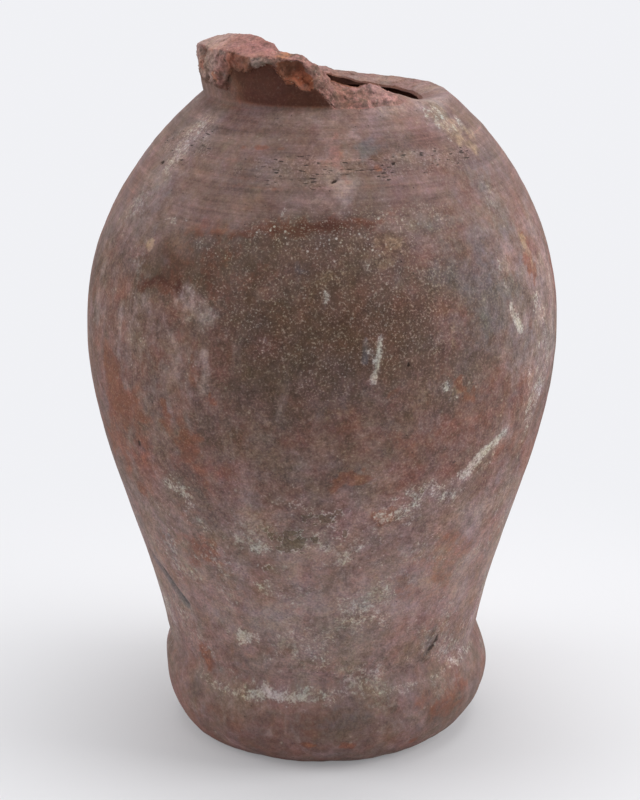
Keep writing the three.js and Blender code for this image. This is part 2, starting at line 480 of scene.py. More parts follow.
@dataclass(frozen=True)
class JarLine:
    """Outline of the jar from its seat under the foot, up the outside and down the inside."""

    slab_radius: float = 52.35
    slab_bevel: float = 4.0
    floor: float = 14.0
    sole_radius: float = 60.85
    foot_radius: float = 77.05
    foot_height: float = 28.0
    waist: Pair = (73.5, 46.0)
    belly: Pair = (107.5, 192.0)
    root: Pair = (53.0, 302.0)
    wall: float = 9.0
    bore_radius: float = 43.0
    bore_foot: float = 296.5
    lower_joint: float = 118.0
    shoulder_joint: float = 216.0
    neck_joint: float = 292.0
    neck_outer: Pair = (54.6, 312.0)
    neck_inner: Pair = (44.6, 312.0)
    scarf: float = 5.0
    sole_handle: Pair = (8.9, 3.2)
    roll_handle: float = 14.0
    knee_handle: float = 33.0
    crease_handle: Pair = (75.0, 41.0)
    waist_handle: Pair = (79.9, 91.4)
    belly_handles: Pair = (48.8, 12.9)
    root_handle: Pair = (55.95, 45.63)
    fillet_handles: tuple[Pair, Pair] = ((64.0, 30.0), (61.0, 18.0))
    foot_spans: tuple[int, int] = (30, 20)
    wall_spans: int = 200
    fillet_spans: int = 12
    spacing: float = 1.2
    fine_spacing: float = 0.7
    inside_spacing: float = 2.5
    seat_rows: int = 5
    foot_rows: int = 52
    neck_rows: int = 46

    def foot(self) -> Field:
        """Outside of the foot, from the seat of the slab to the crease at the waist.

        Returns:
            Rows of radius and height.
        """
        sole = (self.sole_radius, 0.0)
        widest = (self.foot_radius, self.foot_height)
        lift = (self.sole_radius + self.sole_handle[0], self.sole_handle[1])
        roll = cubic(sole, lift, (self.foot_radius, self.roll_handle), widest, self.foot_spans[0])
        knee = (self.foot_radius, self.knee_handle)
        draw_in = cubic(widest, knee, self.crease_handle, self.waist, self.foot_spans[1])
        rise = np.concatenate([roll, draw_in[1:]])
        seat = respace(np.array([(self.slab_radius, 0.0), sole]), self.seat_rows)
        return np.concatenate([seat[:-1], respace(rise, self.foot_rows)])

    def outside(self) -> Field:
        """Outside of the wall, from the waist to the root of the neck, closer spaced on the shoulder.

        Returns:
            Rows of radius and height.
        """
        radius, height = self.belly
        below, above = (radius, height - self.belly_handles[0]), (radius, height + self.belly_handles[1])
        lower = cubic(self.waist, self.waist_handle, below, self.belly, self.wall_spans)
        slope = (self.root[0] + self.root_handle[0], self.root[1] - self.root_handle[1])
        upper = cubic(self.belly, above, slope, self.root, self.wall_spans)
        line = np.concatenate([lower, upper[1:]])
        coarse = line[line[:, 1] <= self.shoulder_joint]
        fine = line[line[:, 1] >= coarse[-1, 1]]
        shoulder = self._spaced(fine, self.fine_spacing)
        return np.concatenate([self._spaced(coarse, self.spacing), shoulder[1:]])

    def inside(self) -> Field:
        """Inside of the wall, from the foot of the bore down to the slab's seat.

        Returns:
            Rows of radius and height.
        """
        line = self.outside()
        along = np.gradient(line, axis=0)
        along /= np.linalg.norm(along, axis=1)[:, None]
        shell = line + np.stack([-along[:, 1], along[:, 0]], axis=1) * self.wall
        corner = np.array([self.slab_radius + self.slab_bevel, self.floor])
        fillet = cubic(tuple(shell[0]), *self.fillet_handles, tuple(corner), self.fillet_spans)
        descent = np.concatenate([shell[::-1], fillet[1:]])
        return np.concatenate([self._spaced(descent, self.inside_spacing), [[self.slab_radius, 0.0]]])

    @staticmethod
    def _spaced(line: Field, spacing: float) -> Field:
        """The line with points about this far apart."""
        length = np.linalg.norm(np.diff(line, axis=0), axis=1).sum()
        return respace(line, max(2, round(length / spacing)))


@dataclass(frozen=True)
class WallPlaces:
    """Places on the outside of the wall: angle in radians, distance along the outline, radius and point."""

    theta: Field
    along: Field
    radius: Field
    points: Field
    usual_radius: float = 90.0

    def offset(self, middle: Pair) -> tuple[Field, Field]:
        """How far each place lies across and along the wall from a middle.

        Args:
            middle: Angle in radians and distance along the outline.

        Returns:
            Distances to the right, seen from outside, and up the outline.
        """
        turned = np.mod(self.theta - middle[0] + math.pi, TURN) - math.pi
        return turned * self.radius, self.along - middle[1]

    def step(self, start: Pair, end: Pair) -> Pair:
        """Distances across and along from one point of a line to the next."""
        turned = math.remainder(end[0] - start[0], TURN)
        return turned * self.usual_radius, end[1] - start[1]


@dataclass(frozen=True)
class Patch:
    """A stain or deposit with a ragged outline, read off the photo by the pixel at its middle."""

    name: str
    tint: Tint
    at_px: Pair
    radii: Pair
    strength: float
    soft: float = 1.0
    ragged: float = 0.6
    turn_deg: float = 0.0
    lift: float = 0.0

    @property
    def pixels(self) -> tuple[Pair, ...]:
        """The pixels that place the patch."""
        return (self.at_px,)

    def spread(self, wall: WallPlaces, path: Sequence[Pair], seed: int) -> Field:
        """How strongly the patch covers each place of the wall.

        Args:
            wall: Places on the outside of the wall.
            path: Angle in radians and distance along the outline of the patch's middle, in one row.
            seed: Chooses the ragged edge.

        Returns:
            Cover from 0 to the patch's strength.
        """
        across, along = wall.offset(path[0])
        lean = math.radians(self.turn_deg)
        wide = (across * math.cos(lean) + along * math.sin(lean)) / self.radii[0]
        high = (along * math.cos(lean) - across * math.sin(lean)) / self.radii[1]
        reach = np.hypot(wide, high)
        near = np.flatnonzero(reach < 1.0 + self.ragged)
        cover = np.zeros(len(reach))
        grain = max(FINEST_RAGS, 0.45 * min(self.radii))
        edge = reach[near] + self.ragged * clouds(wall.points[near], grain, 3, seed)
        cover[near] = self.strength * (1.0 - smooth(edge, 1.0 - self.soft, 1.0))
        return cover


@dataclass(frozen=True)
class Stroke:
    """A line on the wall, such as a crack, groove, drip or smear, read off the photo by its pixels."""

    name: str
    tint: Tint
    pixels: tuple[Pair, ...]
    width: float
    strength: float
    ragged: float = 0.5
    lift: float = 0.0

    def spread(self, wall: WallPlaces, path: Sequence[Pair], seed: int) -> Field:
        """How strongly the line covers each place of the wall.

        Args:
            wall: Places on the outside of the wall.
            path: Angle in radians and distance along the outline of each point of the line.
            seed: Chooses how the line thins and breaks.

        Returns:
            Cover from 0 to the line's strength.
        """
        best = np.full(len(wall.theta), np.inf)
        for start, end in itertools.pairwise(path):
            across, along = wall.offset(start)
            to_across, to_along = wall.step(start, end)
            length = max(to_across**2 + to_along**2, 1e-6)
            share = np.clip((across * to_across + along * to_along) / length, 0.0, 1.0)
            best = np.minimum(best, np.hypot(across - share * to_across, along - share * to_along))
        near = np.flatnonzero(best < 2.5 * self.width)
        cover = np.zeros(len(best))
        wave = clouds(wall.points[near], 4.0 * self.width, 2, seed)
        half = 0.5 * self.width * (1.0 + self.ragged * wave)
        cover[near] = self.strength * (1.0 - smooth(best[near] / np.maximum(half, 0.05), 0.4, 1.5))
        return cover


@dataclass(frozen=True)
class Band:
    """A stain that runs all round the jar between two heights."""

    name: str
    tint: Tint
    low: float
    high: float
    fade: float
    strength: float

    def spread(self, height: Field) -> Field:
        """How strongly the band covers each height."""
        rise = smooth(height, self.low - self.fade, self.low + self.fade)
        return self.strength * rise * (1.0 - smooth(height, self.high - self.fade, self.high + self.fade))


class BreakPoint(NamedTuple):
    """How high the neck still stands above the floor at one angle, and how fresh its break is."""

    angle_deg: float
    outer: float
    inner: float = 312.0
    swell: float = 0.0
    fresh: float = 1.0


NECK_ROWS = (
    (0, 300.4, 297.4, 0.5, 0.15),
    (20, 300.6, 297.0, 0.8, 0.15),
    (31, 300.7, 297.2, 0.7, 0.30),
    (43, 300.5, 297.4, 0.4, 0.40),
    (52, 300.3, 297.0, 0.5, 0.35),
    (62, 300.2, 297.9, 0.4, 0.35),
    (71, 300.4, 298.9, 0.3, 0.38),
    (78, 301.6, 300.1, 0.3, 0.45),
    (84, 302.0, 300.8, 0.3, 0.50),
    (88, 303.8, 301.4, 0.4, 0.60),
    (96, 303.6, 301.6, 0.4, 0.55),
    (110, 302.2, 300.6, 0.4, 0.50),
    (130, 302.6, 301.4, 0.4, 0.70),
    (143, 304.5, 306.0, 0.4),
    (152, 308.0, 310.0),
    (165, 309.0),
    (190, 309.6),
    (211, 310.0),
    (215, 308.2),
    (221.5, 309.6),
    (226, 318.0),
    (235, 318.4),
    (236.6, 320.4),
    (245, 321.4),
    (247.5, 321.0),
    (249.5, 318.6),
    (253, 313.8),
    (257, 313.4),
    (260.5, 310.0),
    (265, 309.8),
    (267, 311.2, 312.4),
    (270, 308.5, 313.0),
    (273, 304.9, 313.2, -0.4),
    (276, 302.0, 313.0, -0.9),
    (281, 302.1, 311.4, -0.6),
    (286, 301.9, 310.3, 0.3),
    (290, 301.8, 309.7, 1.0),
    (294, 301.7, 310.3, 1.6),
    (297, 301.8, 311.0, 1.9),
    (300, 301.7, 310.8, 1.8),
    (303, 301.6, 309.6, 1.6),
    (305, 301.5, 308.0, 1.5),
    (308, 301.3, 307.0, 1.2, 0.7),
    (311, 302.0, 305.7, 0.9, 0.42),
    (317, 301.8, 304.6, 0.6, 0.20),
    (323, 301.3, 302.6, 0.5, 0.08),
    (331, 300.8, 300.9, 0.4, 0.05),
    (343, 300.5, 298.6, 0.4, 0.05),
)


@dataclass(frozen=True)
class NeckBreak:
    """The broken top of the neck, from the shoulder over the wall's break and down into the bore."""

    line: JarLine
    shoulder: Field
    tilt_deg: float
    flare: float = 0.16
    outer_jag: float = 0.5
    inner_jag: float = 0.3
    heights: tuple[BreakPoint, ...] = tuple(BreakPoint(*row) for row in NECK_ROWS)

    def place(self, turn: Field, step: Field, turns: int, spans: int) -> tuple[Field, Field, Field]:
        """Where the vertices of the neck lie.

        Args:
            turn: Number of each vertex's place round the axis.
            step: Number of its place along the section.
            turns: How many places there are round the axis.
            spans: How many spans the section has.

        Returns:
            Radius and height of each vertex, the outward direction there, and 1 where the clay is broken.
        """
        sections = [self._section(TURN * number / turns, spans) for number in range(turns)]
        lines = np.stack([section[0] for section in sections])
        broken = np.stack([section[1] for section in sections])
        course = np.gradient(lines, axis=1)
        course /= np.linalg.norm(course, axis=2)[:, :, None]
        outward = np.stack([course[:, :, 1], -course[:, :, 0]], axis=2)
        return lines[turn, step], outward[turn, step], broken[turn, step]

    def _section(self, theta: float, spans: int) -> tuple[Field, Field]:
        """Section of the neck at one angle.

        Args:
            theta: The angle, in radians.
            spans: How many spans the section has.

        Returns:
            Evenly spaced rows of radius and height, and how broken the clay is at each.
        """
        outer, inner, swell, fresh = self._heights(theta)
        whole = self.shoulder[self.shoulder[:, 1] < outer - 0.05]
        root_radius, root_height = self.line.root
        if outer > root_height:
            edge = (root_radius + self.flare * (outer - root_height), outer)
        else:
            edge = (float(np.interp(outer, self.shoulder[:, 1], self.shoulder[:, 0])), outer)
        lip = (self.line.bore_radius + max(0.0, self.flare * (inner - root_height)), inner)
        across = np.array([0.2, 0.45, 0.7, 0.9])[:, None]
        face = np.array(edge) + across * (np.array(lip) - np.array(edge))
        face[:, 1] += swell * 4.0 * (across * (1.0 - across))[:, 0]
        foot = (self.line.bore_radius, self.line.bore_foot)
        line = np.concatenate([whole, [edge], face, [lip], [foot]])
        steps = np.concatenate([[0.0], np.cumsum(np.linalg.norm(np.diff(line, axis=0), axis=1))])
        along = np.linspace(0.0, steps[-1], spans + 1)
        start = steps[len(whole)]
        end = steps[len(whole) + len(face) + 1]
        broken = smooth(along, start - 0.3, start + 0.4) * (1.0 - smooth(along, end - 0.2, end + 0.8))
        return respace(line, spans), fresh * broken

    def _heights(self, theta: float) -> tuple[float, float, float, float]:
        """How the break runs at one angle.

        Args:
            theta: The angle, in radians.

        Returns:
            Heights of the outer and the inner edge on the untilted wall, the swell and the freshness.
        """
        degrees = math.degrees(theta) % 360.0
        angles, *courses = np.array(self.heights).T
        outer, inner, swell, fresh = (
            float(np.interp(degrees, angles, course, period=360.0)) for course in courses
        )
        place = np.array([[math.cos(theta), math.sin(theta), 0.0]]) * self.line.root[0]
        lean = math.tan(math.radians(self.tilt_deg)) * place[0, 0]
        outer += self.outer_jag * float(clouds(place, 8.0, 3, 31)[0])
        inner += self.inner_jag * float(clouds(place, 9.0, 2, 32)[0])
        return outer - lean, inner - lean, swell, fresh


@dataclass
class JarWall:
    """The turned wall of the jar, worked over like clay and then parted at its luted joints."""

    line: JarLine
    view: PhotoView
    marks: Sequence[Patch | Stroke]
    bands: Sequence[Band]
    turn_steps: int = 512
    break_rows: int = 10
    foot_shift: float = 2.1
    tilt_deg: float = 1.1
    ringed: Pair = (225.0, 262.0)
    pared: Pair = (150.0, 90.0)
    lumpy: Pair = (50.0, 40.0)
    crease_height: float = 45.0
    crease_tilt: float = 3.0
    crease_reach: float = 6.0
    crease_depth: float = 1.0
    crease_ease: float = 0.8
    rilling_top: float = 300.0
    # Painted shade on the neck under the collar: the recess is darkened as well as hollowed, the overhang
    # darkens the wall, painted_shade_spot darkens in the pit colour, and red_and_shaded_lip gets a painted
    # shadow on its left part.
    recess: Spot = Spot(243.0, 316.0, 22.0, 8.0)
    recess_depth: float = 2.0
    painted_shade_spot: Spot = Spot(254.0, 317.5, 13.0, 5.0)
    overhang: Sector = Sector((206.0, 244.0), (276.0, 281.0))
    collared: Sector = Sector((150.0, 200.0), (284.0, 300.0))
    red_and_shaded_lip: Sector = Sector((224.0, 228.0), (268.0, 272.0))
    lip_clears: Pair = (247.0, 257.0)
    back_squeeze: float = 0.85
    back_lift: float = 8.0
    back_waves: float = 2.3
    bore_red: float = 0.9
    # bore_shade: painted shade inside the bore
    bore_shade: float = 0.85
    bore_skin: float = 2.0

    def __post_init__(self) -> None:
        """Lay out the rows of the closed outline and note where its stretches begin."""
        foot = self.line.foot()
        outside = self.line.outside()
        bore_foot = (self.line.bore_radius, self.line.bore_foot)
        corners = np.array([self.line.root, self.line.neck_outer, self.line.neck_inner, bore_foot])
        neck = respace(corners, self.line.neck_rows)
        self.rows = np.concatenate([foot, outside[1:], neck[1:], self.line.inside()])
        self.waist_row = len(foot) - 1
        self.root_row = self.waist_row + len(outside) - 1
        self.neck_row = self.root_row - self.break_rows
        self.bore_row = self.root_row + self.line.neck_rows
        along = np.gradient(self.rows, axis=0)
        along /= np.linalg.norm(along, axis=1)[:, None]
        self.normals = np.stack([along[:, 1], -along[:, 0]], axis=1)
        steps = np.linalg.norm(np.diff(self.rows, axis=0), axis=1)
        self.along = np.concatenate([[0.0], np.cumsum(steps)])

    def build(self) -> dict[Section, Piece]:
        """Turn, work and part the wall.

        Returns:
            One closed ring for each section.
        """
        ring = turn_outline("wall", self.rows, self.turn_steps)
        self._work(ring.data)
        return self._part(ring)

    def settle(self, points: Field) -> Field:
        """Shift the foot sideways and tilt the shoulder, as the jar sagged when it was wet.

        Args:
            points: Coordinates on the upright jar.

        Returns:
            The moved coordinates.
        """
        moved = points.copy()
        in_foot = np.clip(points[:, 2] / self.line.waist[1], 0.0, 1.0)
        moved[:, 0] += self.foot_shift * np.sin(math.pi * in_foot)
        lean = math.tan(math.radians(self.tilt_deg)) * points[:, 0]
        moved[:, 2] += lean * smooth(points[:, 2], self.line.belly[1], self.line.neck_joint)
        return moved

    def _work(self, mesh: Mesh) -> None:
        """Give the plain ring its break, marks and unevenness, paint shade on the neck and in the bore, and
        store what lies where.

        Args:
            mesh: The ring's mesh.
        """
        row = np.rint(stored(mesh, "row")).astype(int)
        plain = coordinates(mesh)
        theta = np.arctan2(plain[:, 1], plain[:, 0])
        flat = self.rows[row]
        slant = self.normals[row]
        fresh = np.zeros(len(row))
        neck = (row > self.neck_row) & (row < self.bore_row)
        turn = np.rint(theta * self.turn_steps / TURN).astype(int) % self.turn_steps
        broken = NeckBreak(self.line, self.rows[self.neck_row : self.root_row + 1], self.tilt_deg)
        flat[neck], slant[neck], fresh[neck] = broken.place(
            turn[neck], row[neck] - self.neck_row, self.turn_steps, self.bore_row - self.neck_row
        )
        around = np.stack([np.cos(theta), np.sin(theta)], axis=1)
        points = np.column_stack([around * flat[:, :1], flat[:, 1]])
        outward = np.column_stack([around * slant[:, :1], slant[:, 1]])
        tints = {tint: np.zeros(len(row)) for tint in Tint}
        tints[FRESH] = fresh
        raised = self._relief(points, row, fresh)
        self._mark(theta, row, points, tints, raised)
        self._shade_neck(theta, points, tints, raised)
        bore = (row > self.root_row) & (flat[:, 0] < self.line.bore_radius + self.bore_skin)
        tints[RUST][bore | (row >= self.bore_row)] = self.bore_red
        # painted shade inside the bore
        tints[SOOT_AND_SHADE][bore] = self.bore_shade
        moved = self.settle(points + outward * raised[:, None])
        moved[:, 2] = np.maximum(moved[:, 2], 0.0)
        set_coordinates(mesh, moved)
        for tint, cover in tints.items():
            store(mesh, tint.value, np.clip(cover, 0.0, 1.0))

    def _relief(self, points: Field, row: Field, fresh: Field) -> Field:
        """Unevenness of the clay: rings, sag, paring and lumps outside, rilling inside, flakes on the break.

        Args:
            points: Coordinates of each vertex on the ideal wall.
            row: Outline row of each vertex.
            fresh: How broken the clay is at each vertex.

        Returns:
            A distance outwards for each vertex.
        """
        height = points[:, 2]
        reach = np.maximum(np.hypot(points[:, 0], points[:, 1]), 1.0)
        rightward = points[:, 0] / reach
        lying = points * np.array([0.05, 0.05, 1.0])
        rising = np.column_stack([points[:, :2] / reach[:, None] * self.line.belly[0], 0.16 * height])
        rings = clouds(lying, 6.0, 3, 12) * (0.05 + 0.12 * smooth(height, *self.ringed))
        sag = 0.35 * clouds(points, 70.0, 2, 11)
        grain = 0.09 * clouds(points, 9.0, 3, 13)
        paring = 0.17 * smooth(height, *self.pared) * clouds(rising, 8.0, 3, 14)
        lumps = 0.4 * clouds(points, 24.0, 3, 15) * smooth(height, *self.lumpy)
        outside = rings + sag + grain + paring + lumps
        from_crease = np.abs(height - self.crease_height - self.crease_tilt * rightward)
        crease = 1.0 - smooth(from_crease, 0.0, self.crease_reach)
        outside -= (self.crease_depth - self.crease_ease * rightward) * crease
        rilling = 0.7 * clouds(lying, 12.0, 2, 16) + 0.25 * clouds(points, 30.0, 2, 17)
        rilling *= smooth(self.rilling_top - height, 6.0, 20.0)
        rough = 0.5 * clouds(points, 4.0, 3, 21) + 0.8 * flakes(points, 6.0, 22)
        return np.where(row >= self.bore_row, rilling, outside) + fresh * rough

    def _mark(self, theta: Field, row: Field, points: Field, tints: Tints, raised: Field) -> None:
        """Lay every band and mark on the outside, and the like of each mark at the unseen back.

        Args:
            theta: Angle of each vertex, in radians.
            row: Outline row of each vertex.
            points: Coordinates of each vertex on the ideal wall.
            tints: What lies where, added to.
            raised: Distance outwards of each vertex, added to.
        """
        out = np.flatnonzero(row <= self.root_row)
        places = WallPlaces(theta[out], self.along[row[out]], self.rows[row[out], 0], points[out])
        rise = slice(self.line.seat_rows, self.root_row + 1)
        radii, heights = self.rows[rise].T
        skin = np.flatnonzero(row < self.bore_row)
        whole = 1.0 - tints[FRESH][skin]
        for band in self.bands:
            LOG.debug("band: %s", band.name)
            tints[band.tint][skin] += band.spread(points[skin, 2]) * whole
        for seed, mark in enumerate(self.marks, start=FIRST_MARK_SEED):
            LOG.debug("mark: %s", mark.name)
            seen = [self.view.on_wall(pixel, heights, radii) for pixel in mark.pixels]
            front = [(angle, float(np.interp(height, heights, self.along[rise]))) for angle, height in seen]
            for path in (front, self._behind(front)):
                cover = mark.spread(places, path, seed)
                tint = tints[mark.tint]
                tint[out] = 1.0 - (1.0 - tint[out]) * (1.0 - np.clip(cover, 0.0, 1.0))
                raised[out] += cover * mark.lift

    def _behind(self, front: Sequence[Pair]) -> list[Pair]:
        """The like of a front mark at the back, half a turn on, drawn in from the flanks and shifted.

        Args:
            front: Angle in radians and distance along the outline of the mark's points.

        Returns:
            The points at the back.
        """
        middle = 0.5 * math.pi
        angles = [middle + self.back_squeeze * (angle + middle) for angle, _ in front]
        lifts = [self.back_lift * math.sin(self.back_waves * angle) for angle in angles]
        return [(angle, along + lift) for angle, lift, (_, along) in zip(angles, lifts, front)]

    def _shade_neck(self, theta: Field, points: Field, tints: Tints, raised: Field) -> None:
        """Paint shade on the neck under the overhang of the collar, in olive and dark red, and hollow it.

        Args:
            theta: Angle of each vertex, in radians.
            points: Coordinates of each vertex on the ideal wall.
            tints: What lies where, added to.
            raised: Distance outwards of each vertex, added to.
        """
        angle = np.degrees(np.mod(theta, TURN))
        height = points[:, 2]
        whole = 1.0 - tints[FRESH]
        root = self.line.root[1]
        under = self.overhang.over(angle) * whole
        wall = smooth(height, root - 2.4, root + 3.0) * whole
        deep = self.recess.over(angle, height) * whole
        open_side = 1.0 - self.collared.over(angle)
        # painted shade: the neck wall under the collar, darkest under the overhang and in the recess
        tints[SOOT_AND_SHADE] += 0.20 * wall + 0.56 * wall * under + 0.6 * deep
        # red of the neck wall, strongest under the overhang, where it mixes with the painted shade into dark
        # red
        tints[RUST] += 0.10 * wall + 0.87 * wall * under
        tints[BLOOM] += 0.7 * smooth(height, root - 7.0, root - 2.0) * whole * open_side
        tints[SLATE] += 0.5 * open_side * tints[FRESH]
        # red spall on the lip, with a painted shadow over its left part that clears towards lip_clears
        lip = self.red_and_shaded_lip.over(angle) * tints[FRESH]
        tints[RUST] += 0.9 * lip
        tints[SOOT_AND_SHADE] += (1.25 - 0.6 * smooth(angle, *self.lip_clears)) * lip
        # painted shade spot under the collar, in the pit colour
        tints[SCAR_AND_SHADE] += 0.55 * self.painted_shade_spot.over(angle, height) * whole
        raised -= self.recess_depth * deep

    def _joints(self) -> list[tuple[int, int]]:
        """Rows of the sloping joints.

        Returns:
            Outer and inner row of each joint, from the waist up.
        """
        heights = (self.line.waist[1], self.line.lower_joint, self.line.shoulder_joint, self.line.neck_joint)
        wall = self.rows[self.waist_row : self.root_row, 1]
        found = []
        for height in heights:
            outer = self.waist_row + int(np.argmin(np.abs(wall - height)))
            above = int(np.argmin(np.abs(self.along[: self.root_row] - self.along[outer] - self.line.scarf)))
            through = self.rows[above] - self.normals[above] * self.line.wall
            gap = np.linalg.norm(self.rows[self.bore_row + 1 :] - through, axis=1)
            found.append((outer, self.bore_row + 1 + int(np.argmin(gap))))
        return found

    def _part(self, ring: Piece) -> dict[Section, Piece]:
        """Cut the worked ring into its sections and close each cut with a joint face.

        Args:
            ring: The worked ring, which becomes the top section.

        Returns:
            One closed ring for each section.
        """
        mesh = ring.data
        layer = mesh.attributes.new("skin", "FLOAT_VECTOR", "POINT")
        layer.data.foreach_set("vector", vertex_normals(mesh).astype(np.float32).ravel())
        joints = self._joints()
        pieces = {}
        for section, (lower, upper) in zip(Section, itertools.pairwise([None, *joints, None])):
            piece = ring if upper is None else self._cut_off(ring, upper)
            piece.name = section.value
            self._close(piece, [joint for joint in (lower, upper) if joint is not None])
            pieces[section] = piece
        return pieces

    @staticmethod
    def _cut_off(ring: Piece, joint: tuple[int, int]) -> Piece:
        """Part what lies below a joint from the ring.

        Args:
            ring: The ring.
            joint: Outer and inner row of the joint.

        Returns:
            What lies below, as an object of its own.
        """
        mesh = ring.data
        row = np.rint(stored(mesh, "row"))
        corners = np.empty(len(mesh.loops), np.int32)
        mesh.loops.foreach_get("vertex_index", corners)
        spans = row[corners].reshape(-1, 4)
        below = (spans.max(axis=1) <= joint[0]) | (spans.min(axis=1) >= joint[1])
        below |= (spans.min(axis=1) == 0) & (spans.max(axis=1) > joint[1])
        select(mesh, faces=below)
        bpy.context.tool_settings.mesh_select_mode = (False, False, True)
        with editing(ring):
            bpy.ops.mesh.separate(type="SELECTED")
        return next(piece for piece in bpy.context.selected_objects if piece != ring)

    @staticmethod
    def _close(piece: Piece, joints: Sequence[tuple[int, int]]) -> None:
        """Bridge the open edges at each joint and keep the shading of the whole wall.

        Args:
            piece: The section.
            joints: Outer and inner row of each of its joints.
        """
        mesh = piece.data
        bpy.context.tool_settings.mesh_select_mode = (True, False, False)
        for joint in joints:
            select(mesh, vertices=np.isin(np.rint(stored(mesh, "row")), joint))
            with editing(piece):
                bpy.ops.mesh.bridge_edge_loops()
        face_outwards(piece)
        bpy.ops.object.shade_smooth()
        skin = gathered(mesh.attributes["skin"].data, "vector", 3)
        mesh.normals_split_custom_set_from_vertices(skin.astype(np.float32))
        for name in ("skin", "row"):
            mesh.attributes.remove(mesh.attributes[name])


class CollarPoint(NamedTuple):
    """Section of the collar fragment at one angle, as radius and height of its corners."""

    angle_deg: float
    foot: Pair
    lip: Pair
    face: Pair
    edge: Pair
    crest: Pair


COLLAR_ROWS = (
    (147, (52.6, 304.5), (52.9, 305.5), (52.6, 307.0), (51.2, 309.0), (47.0, 310.5)),
    (156, (53.2, 306.5), (54.0, 308.5), (54.2, 311.5), (53.0, 315.0), (47.2, 318.5)),
    (168, (53.2, 307.5), (54.2, 311.5), (55.0, 316.5), (54.0, 320.5), (46.8, 323.5)),
    (180, (53.2, 308.0), (54.3, 311.6), (55.2, 318.5), (54.4, 322.6), (46.5, 325.4)),
    (190, (53.4, 308.5), (55.0, 311.6), (56.2, 318.8), (55.2, 323.6), (46.2, 327.0)),
    (198, (53.7, 308.5), (55.8, 311.0), (57.0, 318.4), (56.0, 324.4), (46.0, 327.9)),
    (205, (54.0, 308.2), (56.4, 310.6), (57.5, 317.6), (56.4, 325.2), (45.8, 329.0)),
    (211, (54.2, 309.4), (56.8, 312.2), (57.8, 317.5), (56.8, 324.4), (45.7, 329.9)),
    (215, (54.2, 307.4), (57.0, 309.4), (58.0, 316.5), (57.2, 324.2), (45.6, 330.4)),
    (219, (54.0, 306.9), (56.8, 308.6), (58.0, 316.0), (57.6, 324.5), (45.5, 330.8)),
    (221.5, (53.8, 308.0), (56.6, 309.8), (57.8, 317.0), (57.5, 324.7), (45.5, 330.9)),
    (223.5, (53.4, 312.0), (56.4, 313.4), (57.6, 318.5), (57.4, 324.7), (45.5, 331.0)),
    (226, (52.6, 315.4), (56.4, 316.5), (57.4, 319.5), (57.2, 324.5), (45.5, 331.1)),
    (230, (52.3, 315.8), (56.4, 316.6), (57.3, 319.5), (57.0, 324.1), (45.5, 331.0)),
    (235, (52.2, 316.0), (56.2, 316.8), (57.2, 319.6), (56.6, 323.2), (45.5, 330.5)),
    (236.6, (52.2, 318.0), (56.0, 319.3), (57.0, 321.0), (56.4, 323.1), (45.6, 330.1)),
    (240, (52.3, 318.8), (55.8, 320.2), (56.8, 321.6), (56.2, 323.4), (45.8, 328.9)),
    (244, (52.6, 319.2), (55.6, 320.7), (56.4, 322.2), (55.5, 324.4), (46.0, 328.0)),
    (246.5, (52.9, 319.2), (55.0, 320.7), (55.8, 322.4), (54.4, 324.0), (46.2, 325.5)),
    (249, (55.2, 317.4), (53.4, 320.0), (54.2, 322.0), (53.2, 323.8), (46.4, 325.2)),
    (253, (54.8, 313.2), (51.0, 315.8), (50.0, 319.6), (52.6, 322.4), (46.6, 324.6)),
    (257, (54.8, 312.8), (50.8, 315.2), (49.6, 319.4), (52.3, 322.6), (46.5, 324.4)),
    (260, (54.4, 310.2), (51.4, 312.4), (49.6, 318.4), (51.8, 321.9), (46.4, 323.9)),
    (262.5, (54.2, 309.2), (51.6, 311.4), (50.0, 316.6), (51.4, 319.8), (46.2, 322.4)),
    (265, (54.2, 309.2), (51.8, 311.4), (50.8, 314.4), (50.8, 317.2), (46.1, 320.9)),
    (267, (54.4, 310.6), (52.6, 312.4), (51.4, 314.6), (49.6, 317.4), (46.0, 319.9)),
    (270, (54.0, 308.0), (52.4, 309.8), (51.2, 312.4), (49.4, 315.4), (45.8, 318.4)),
    (273, (53.5, 304.4), (52.2, 306.4), (51.0, 309.2), (49.0, 312.2), (45.6, 315.4)),
    (276, (52.6, 301.4), (51.8, 303.2), (50.4, 306.0), (48.4, 308.8), (45.2, 311.2)),
    (278.5, (52.3, 300.4), (51.4, 302.0), (50.0, 304.2), (48.0, 306.4), (45.0, 308.4)),
    (282, (52.0, 299.6), (51.0, 301.0), (49.6, 302.4), (47.6, 303.6), (44.9, 305.0)),
)


